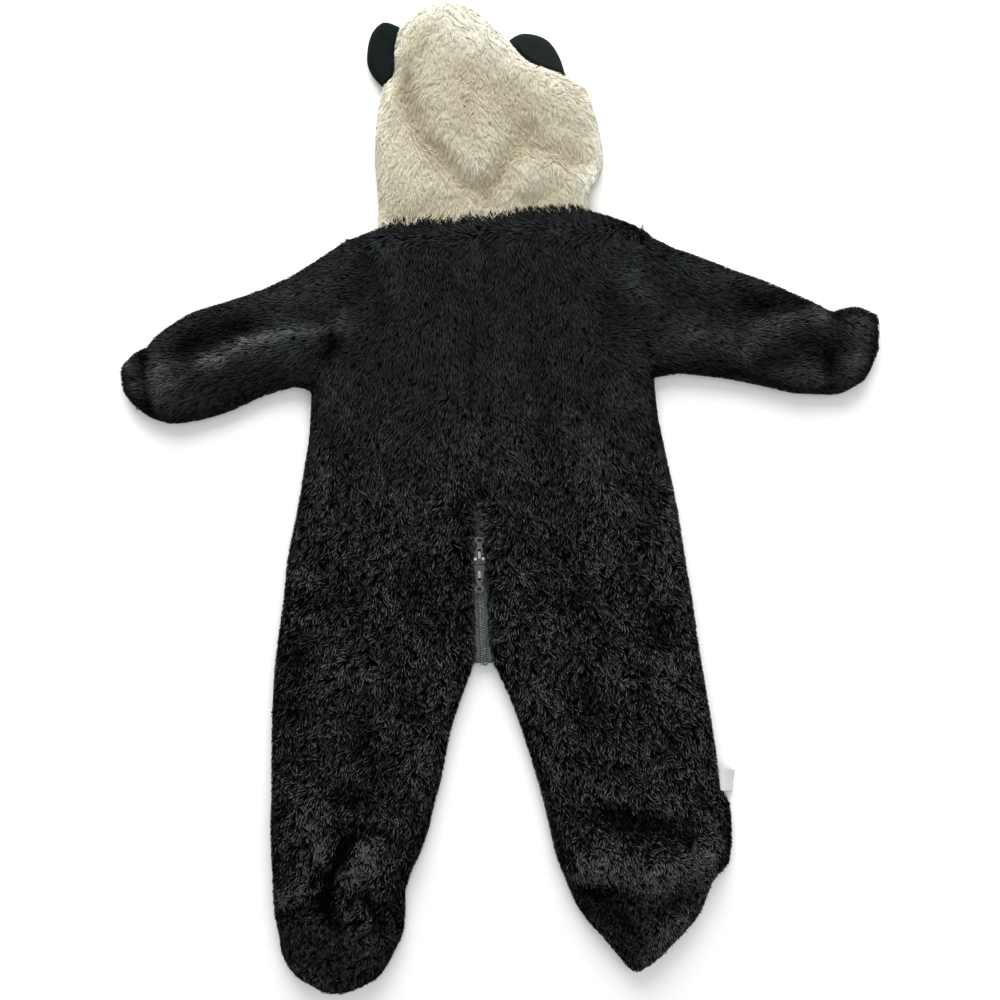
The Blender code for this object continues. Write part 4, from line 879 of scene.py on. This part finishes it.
def grow(name, panel, kinds, flow, pile, material, outline, relief):
    """A panel's pile: curved strands in locks, each strand a narrow strip, in one or more meshes."""
    rng = np.random.default_rng(pile.seed + SEED)
    spots, normal, kind = panel.scatter(kinds, pile.cell, rng)
    curl = panel.curliness(spots)
    count = len(spots)
    depth, out = outline.near(spots[:, :2], RIM_REACH)
    rim = smooth_step((RIM_PILE - depth) / RIM_PILE)
    fray = HOOD_FRAY if name.startswith("pile_hood_back") else EDGE_FRAY
    tangent = lock_ways(spots, normal, curl, rim, out, flow, pile, fray, rng)
    side = unit(np.cross(normal, tangent))
    length = pile.length * (1.4 - 0.4 * curl) * rng.uniform(0.8, 1.2, count) * (1 - 0.45 * rim)
    lift = np.radians(pile.lift + rng.normal(0, 7, count) * curl) * (1 - 0.4 * rim)
    bend = pile.bend * (waves(spots, 9, 14) + rng.normal(0, 0.6, count)) * curl
    wave = pile.bend * rng.normal(0, 0.3, count) * curl

    total = count * pile.strands
    number = np.tile(np.arange(pile.strands), count)  # of each strand in its lock

    def each(x):
        return np.repeat(x, pile.strands, axis=0)

    across_lock = (number - (pile.strands - 1) / 2) * pile.pitch + rng.normal(0, 0.2 * pile.pitch, total)
    along_lock = rng.uniform(-0.28, 0.28, total) * pile.length
    size = each(length) * rng.uniform(0.85, 1.12, total)
    rise, flat_run = size * np.sin(each(lift)), size * np.cos(each(lift))
    # every other strand of a lock is lower, and painted darker as shade under the higher ones
    high_strand = (1.0 - 2.0 * (number % 2)) * each(rng.choice((-1.0, 1.0), count))
    rise = rise * (1 + 0.15 * high_strand)
    base = each(spots) + each(tangent) * along_lock[:, None]
    ahead, aside, above = each(tangent), each(side), each(normal)
    root = base + aside * across_lock[:, None] - above * ROOT_DEPTH
    nodes = []
    for share, high, _, curled, waved in STRAND:
        sideways = across_lock * (1 - (1 - pile.spread) * share)
        sideways = sideways + size * (each(bend) * curled + each(wave) * waved)
        nodes.append(base + ahead * (flat_run * share)[:, None] + above * (rise * high)[:, None]
                     + aside * sideways[:, None] + rng.normal(0, 0.06 + 0.1 * share, (total, 3)))
    run = unit(nodes[2] - root)
    roll = rng.normal(0, pile.roll, total)[:, None]
    across = unit(np.cross(run, above) * np.cos(roll) + above * np.sin(roll))
    half = (pile.width * each(1.35 - 0.35 * curl) * rng.uniform(0.7, 1.2, total) / 2)[:, None] * across
    strip = strips_of(root, nodes, half, above)
    edge = each(depth) < HELD_IN
    strip[edge] = outline.held_in(strip[edge])

    # strands shade mostly as the cloth under them leans
    face = np.cross(across, run)
    face *= np.sign((face * above).sum(1, keepdims=True) + 1e-9)
    ground = ground_normals(spots, normal, kind, depth, pile, relief)
    shade = unit(each(ground) + pile.gloss * each(curl)[:, None] * unit(face))
    light = each(lock_tones(spots, kind, depth, curl, pile, relief, rng))
    # the lower strands' painted shade, with random tone from strand to strand
    own = pile.contrast * (0.8 * high_strand + rng.normal(0, 0.6, total)) * each(curl)
    maps = strand_maps((pile.level + light + own).clip(0.03, 0.97), each(curl))
    if total > MOST_STRANDS:
        order = np.argsort(each(spots[:, 1]), kind="stable")
        strip, maps, shade = strip[order], maps[order], shade[order]
    return strand_meshes(name, strip, maps, shade, material)


BLACK_TOP = Pile(cell=6.35, strands=3, length=5.8, width=0.74, pitch=1.2, lift=22, bend=0.32, spread=0.95,
                 gloss=0.9, lean=1.6, level=0.475, edge=0.07, contrast=0.28, fold=0.085, seed=1, roll=0.5)
BLACK_SOLE = Pile(cell=7.4, strands=4, length=5.4, width=0.8, pitch=1.0, lift=17, bend=0.18, spread=0.8,
                  gloss=0.5, lean=1.8, level=0.465, edge=0.05, contrast=0.17, fold=0.03, seed=5)
BLACK_UNDER = Pile(cell=30.0, strands=3, length=7.0, width=1.4, pitch=1.5, lift=6, bend=0.16, spread=0.8,
                   gloss=0.6, lean=1.0, level=0.48, edge=0.0, contrast=0.18, fold=0.0, seed=2)
CREAM_TOP = Pile(cell=2.52, strands=3, length=6.6, width=0.5, pitch=0.9, lift=25, bend=0.22, spread=0.85,
                 gloss=0.35, lean=0.85, level=0.45, edge=0.42, contrast=0.06, fold=0.055, seed=3,
                 stray=0.15, roll=0.35)
CREAM_UNDER = Pile(cell=12.0, strands=4, length=6.0, width=0.8, pitch=0.8, lift=6, bend=0.1, spread=0.8,
                   gloss=0.4, lean=1.0, level=0.45, edge=0.0, contrast=0.08, fold=0.0, seed=4)

FLOWS = {**dict.fromkeys(BODY_PANELS, body_flow), **dict.fromkeys(SLEEVES, sleeve_flow),
         **dict.fromkeys(HOOD_PANELS, hood_flow)}
# each plush's backing, strands, pile above and below, and slot
BLACK_PLUSH = (BLACK_BACKING, BLACK_PILE, BLACK_TOP, BLACK_UNDER, "plush_black")
CREAM_PLUSH = (CREAM_BACKING, CREAM_PILE, CREAM_TOP, CREAM_UNDER, "plush_cream")


def make_plush():
    outline = Outline([solid_of(node) for node in PLUSH])
    panels = [Panel(node, outline) for node in PLUSH]
    starts = np.cumsum([0] + [len(p.points) for p in panels[:-1]])
    faces = np.vstack([p.faces + s for p, s in zip(panels, starts, strict=True)])
    tree = BVHTree.FromPolygons(np.vstack([p.points for p in panels]).tolist(), faces.tolist())
    relief = Relief(tree)
    for panel in panels:
        node = panel.node
        panel.mark_shown(tree)
        base, look, tops, unders, slot = CREAM_PLUSH if node in HOOD_PANELS else BLACK_PLUSH
        if node.startswith("sole"):
            tops = BLACK_SOLE
        backing = mesh_object(f"cloth_{node}", panel.points, panel.faces, base)
        piles = []
        for kinds, pile, part in (((1, 2), tops, "pile"), ((3,), unders, "underpile")):
            if panel.area[np.isin(panel.kind, kinds)].sum() > LEAST_PILED:
                piles += grow(f"{part}_{node}", panel, kinds, FLOWS[node], pile, look, outline, relief)
        dress(backing, node)
        for strands in piles:
            dress(strands)


make_plush()


# ---- ears
def make_ear(node):
    bm = bmesh_of(*solid_of(node))
    refine(bm, 4.0)
    bmesh.ops.smooth_vert(bm, verts=bm.verts, factor=0.4, use_axis_x=True, use_axis_y=True, use_axis_z=True)
    points, faces = arrays_of(bm)
    bm.free()
    ear = mesh_object(f"velour_{node}", points, faces, VELOURS[node])
    dress(ear, node)


for ear_name in EARS:
    make_ear(ear_name)


# ---- zip and label
METAL_DECK, METAL_TOP = 14.4, 18.1  # heights of the sliders' decks and of their bridges' tops
# painted highlight: brightness on the way up from deck to top
METAL_HIGHLIGHT_RAMP = greys((0.0, 0.14), (0.66, 0.24), (0.86, 1.0))  # brightness on the way up from deck to top
SHOULDER_GLINTS = ((-22.2, -53.5, 15.2), (-14.8, -53.5, 15.2))  # painted glints on the corners of the upper slider's deck
# the colour of the painted glints
GLINT_COLOUR = (0.8, 0.8, 0.78, 1)


def metal_material(name, dark, light, roughness, highlight_ramp=None):
    """Enamelled zinc or nylon: cloudy, with fine scratches, and, where a ramp is given, painted highlights
    that grow lighter the higher it stands, with painted glints at the upper slider's deck corners.
    """
    material, tree, shader = new_material(name, roughness, 0.5, metallic=0.55)
    place, parts = own_place(tree)
    cloud = clouds(tree, place, 420, 6, 0.7)
    colour = ramp(tree, ((0.42, dark), (0.66, light)), cloud)
    if highlight_ramp:
        # painted highlight by height, and painted glints at the deck corners
        height = stretched(tree, parts["Z"], METAL_DECK * MM, METAL_TOP * MM)
        colour = mixed(tree, 1, colour, ramp(tree, highlight_ramp, height), "MULTIPLY")
        for corner in SHOULDER_GLINTS:
            away = add_node(tree, "VectorMath", {0: place, 1: Vector(corner) * MM}, operation="DISTANCE")
            colour = mixed(tree, stretched(tree, away.outputs["Value"], 1.6 * MM, 0.7 * MM), colour, GLINT_COLOUR)
    return finished(material, tree, shader, colour, cloud, 0.25, 0.0002)


METAL = metal_material("zip metal", (0.14, 0.147, 0.147), (0.34, 0.35, 0.345), 0.26, METAL_HIGHLIGHT_RAMP)
# one nylon coil in two copies: the upper one darker, painted shade under the pile that leans over it; the
# lower one lighter, painted highlights
COILS = {"chain_upper": metal_material("upper coil nylon in painted shade", (0.05, 0.055, 0.055), (0.13, 0.14, 0.14), 0.35),
         "chain_lower": metal_material("lower coil nylon with painted highlights", (0.15, 0.17, 0.175), (0.42, 0.46, 0.47), 0.2)}
THREAD = cloth_material("thread", (0.010, 0.011, 0.011), (0.022, 0.024, 0.024), 0.7, 600, 0.3)
PALE_THREAD = cloth_material("pale thread", (0.60, 0.60, 0.58), (0.74, 0.74, 0.72), 0.7, 600, 0.3)

TOOTH_PITCH = 2.1
# across the zip and above the middle of the teeth, from the tape to past the middle
TOOTH = ((2.6, -0.75), (2.65, 0.15), (1.9, 0.62), (0.6, 0.66), (-0.4, 0.2))
TOOTH_RADIUS = 0.42
TOOTH_SLANT = 0.9
CORD = ((-2.4, -0.8), (-2.4, -0.15), (2.4, -0.15), (2.4, -0.8))  # under the loops, measured as a tooth is
TURN_Y, TURN_Z = -142.1, 8.5  # where the zip turns under the crotch
# share of a stitch's length, and its width and height there, in radii
STITCH = ((0.0, 0.25, -0.3), (0.25, 1.0, 0.4), (0.75, 1.0, 0.4), (1.0, 0.25, -0.3))
ROUND_SIDES = 5  # of a tooth or a stitch
STITCH_LINE = (3.9, -1.35)  # of the tapes' stitches, from the middle of the teeth: across, and out


def zip_stations(node):
    """Middle places along the teeth, one for each tooth, with the ways along and out."""
    points, _ = solid_of(node)
    turn = points[:, 1] < TURN_Y - 0.5
    round_turn = 1000 - np.degrees(np.arctan2(points[:, 2] - TURN_Z, TURN_Y - points[:, 1]))
    keys = np.where(turn, round_turn, np.where(points[:, 2] > TURN_Z, -points[:, 1], 2000 + points[:, 1]))
    order = np.argsort(keys, kind="stable")
    points, keys = points[order], keys[order]
    middles = []
    start = 0
    for index in range(1, len(keys) + 1):
        if index == len(keys) or keys[index] - keys[start] > 1.0:
            middles.append(points[start:index].mean(0))
            start = index
    line = np.array(middles)
    along = lengths_along(line)
    spots = at_length(line, along, np.arange(TOOTH_PITCH / 2, along[-1] - TOOTH_PITCH / 2, TOOTH_PITCH / 2))
    ways = unit(np.gradient(spots, axis=0))
    outs = unit(np.cross(ways, (1.0, 0, 0)) * -1)
    outs *= np.where((outs * (spots - (0, TURN_Y + 4, TURN_Z))).sum(1, keepdims=True) < 0, -1, 1)
    return spots, ways, outs


def make_coil(node):
    """The teeth of a closed coil: loops that reach in from both tapes by turns, round a cord."""
    spots, ways, outs = zip_stations(node)
    points, faces = [], []
    for index, (spot, way, out) in enumerate(zip(spots, ways, outs, strict=True)):
        sign = 1 if index % 2 else -1
        line = []
        for step, (reach, high) in enumerate(TOOTH):
            slant = TOOTH_SLANT * (step / (len(TOOTH) - 1) - 0.5)
            line.append(spot + (sign * reach, 0, 0) + out * high + way * slant)
        faces += tube_faces(len(points), len(line), ROUND_SIDES)
        for step, place in enumerate(line):
            run = unit(line[min(step + 1, len(line) - 1)] - line[max(step - 1, 0)])
            points += ring(place, TOOTH_RADIUS * unit(np.cross(run, way)), 0.9 * TOOTH_RADIUS * way)
    teeth = len(faces)
    faces += tube_faces(len(points), len(spots), len(CORD))
    for spot, out in zip(spots, outs, strict=True):
        points += [spot + (reach, 0, 0) + out * high for reach, high in CORD]
    coil = mesh_object(node.replace("chain", "coil"), points, faces, COILS[node])
    # the cord takes the dark thread: painted shade in the gaps between the teeth
    coil.data.materials.append(THREAD)
    which = np.zeros(len(faces), np.int32)
    which[teeth:] = 1
    coil.data.polygons.foreach_set("material_index", which)
    dress(coil, node)


def stitches(name, line, outs, length, gap, radius, material):
    """A row of stitches as short rounded beads along a line of places."""
    line, outs = np.asarray(line, float), np.asarray(outs, float)
    along = lengths_along(line)
    points, faces = [], []
    for start in np.arange(0, along[-1] - length, length + gap):
        faces += tube_faces(len(points), len(STITCH), ROUND_SIDES, flip=True)
        for share, wide, high in STITCH:
            at = start + share * length
            out = unit(at_length(outs, along, at))
            run = unit(at_length(line, along, at + 0.1) - at_length(line, along, at - 0.1))
            side = unit(np.cross(run, out))
            middle = at_length(line, along, at) + radius * high * out
            points += ring(middle, radius * wide * side, radius * wide * out)
    return mesh_object(name, points, faces, material)


def make_tape(side):
    """A zip tape: its solid's form, finely divided and a little uneven, with a row of stitches."""
    node = f"tape_{side}"
    points, faces, normals = fine_form(node, 4.0)
    points += normals * (0.06 * waves(points, 7, 41))[:, None]
    tape = mesh_object(f"weave_{side}", points, faces, TAPE_WEAVE)
    spots, _, outs = zip_stations("chain_lower")
    back = spots[:, 2] > 10.5
    across, outwards = STITCH_LINE
    line = spots[back] + (across if side == "right" else -across, 0, 0) + outs[back] * outwards
    thread = stitches(f"stitches_tape_{side}", line, outs[back], 1.7, 0.7, 0.2, THREAD)
    dress(tape, node)
    dress(thread)


def make_label():
    """The blank care label: its solid's form with a soft ripple, and the stitches that hold it."""
    points, faces, _ = fine_form("care_label", 2.2)
    low, high = points.min(0), points.max(0)
    share = (points[:, 0] - low[0]) / (high[0] - low[0])
    points[:, 2] += 0.5 * share * np.sin((points[:, 1] - low[1]) / 20 * 2 * math.pi + 1.0)
    points[:, 2] = np.maximum(points[:, 2], 0.2)
    label = mesh_object("satin_care_label", points, faces, SATIN)
    root = points[share < 0.22]
    line = [(root[:, 0].mean() + 0.6, y, root[:, 2].max() + 0.1)
            for y in np.linspace(root[:, 1].max() - 1.5, root[:, 1].min() + 1.5, 8)]
    thread = stitches("stitches_label", line, [(0, 0, 1)] * len(line), 2.0, 0.7, 0.22, PALE_THREAD)
    dress(label, "care_label")
    dress(thread)


for chain in COILS:
    make_coil(chain)
for tape_side in ("left", "right"):
    make_tape(tape_side)
make_label()
for metal_node in ("slider_upper", "slider_lower", "pull_upper", "pull_lower"):
    for metal_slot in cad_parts[metal_node].material_slots:
        metal_slot.material = METAL


# ---- stage, light and camera
def make_stage():
    bpy.ops.mesh.primitive_plane_add(size=12, location=(0, 0, -0.0004))
    floor = bpy.context.object
    floor.name = "pale_floor"
    material, _, shader = new_material("pale floor", 0.9, 0.2)
    shader.inputs["Base Color"].default_value = (0.90, 0.90, 0.89, 1)
    floor.data.materials.append(material)


def make_light(name, place, size, power):
    """A square soft light that faces the middle of the floor."""
    light = bpy.data.lights.new(name, "AREA")
    light.size = size
    light.energy = power
    lamp = bpy.data.objects.new(name, light)
    lamp.location = place
    lamp.rotation_euler = (-Vector(place)).to_track_quat("-Z", "Y").to_euler()
    bpy.context.scene.collection.objects.link(lamp)


def make_camera():
    camera = bpy.data.cameras.new("camera")
    camera.sensor_width = 36.0
    distance, plane, across = 1.3, 0.010, 0.875  # metres: to the plane that the frame's width is measured in
    camera.lens = camera.sensor_width * distance / across
    eye = bpy.data.objects.new("camera", camera)
    eye.location = (-0.00044, -0.00219, plane + distance)
    bpy.context.scene.collection.objects.link(eye)
    bpy.context.scene.camera = eye


make_stage()
make_light("window", (-0.15, 1.75, 1.25), 1.7, 62)
make_light("ceiling", (0.3, -0.2, 2.2), 2.4, 26)
make_camera()
world = bpy.data.worlds.new("studio")
world.use_nodes = True
world.node_tree.nodes["Background"].inputs["Color"].default_value = (1, 1, 1, 1)
world.node_tree.nodes["Background"].inputs["Strength"].default_value = 0.38
bpy.context.scene.world = world
bpy.context.scene.view_settings.view_transform = "Standard"
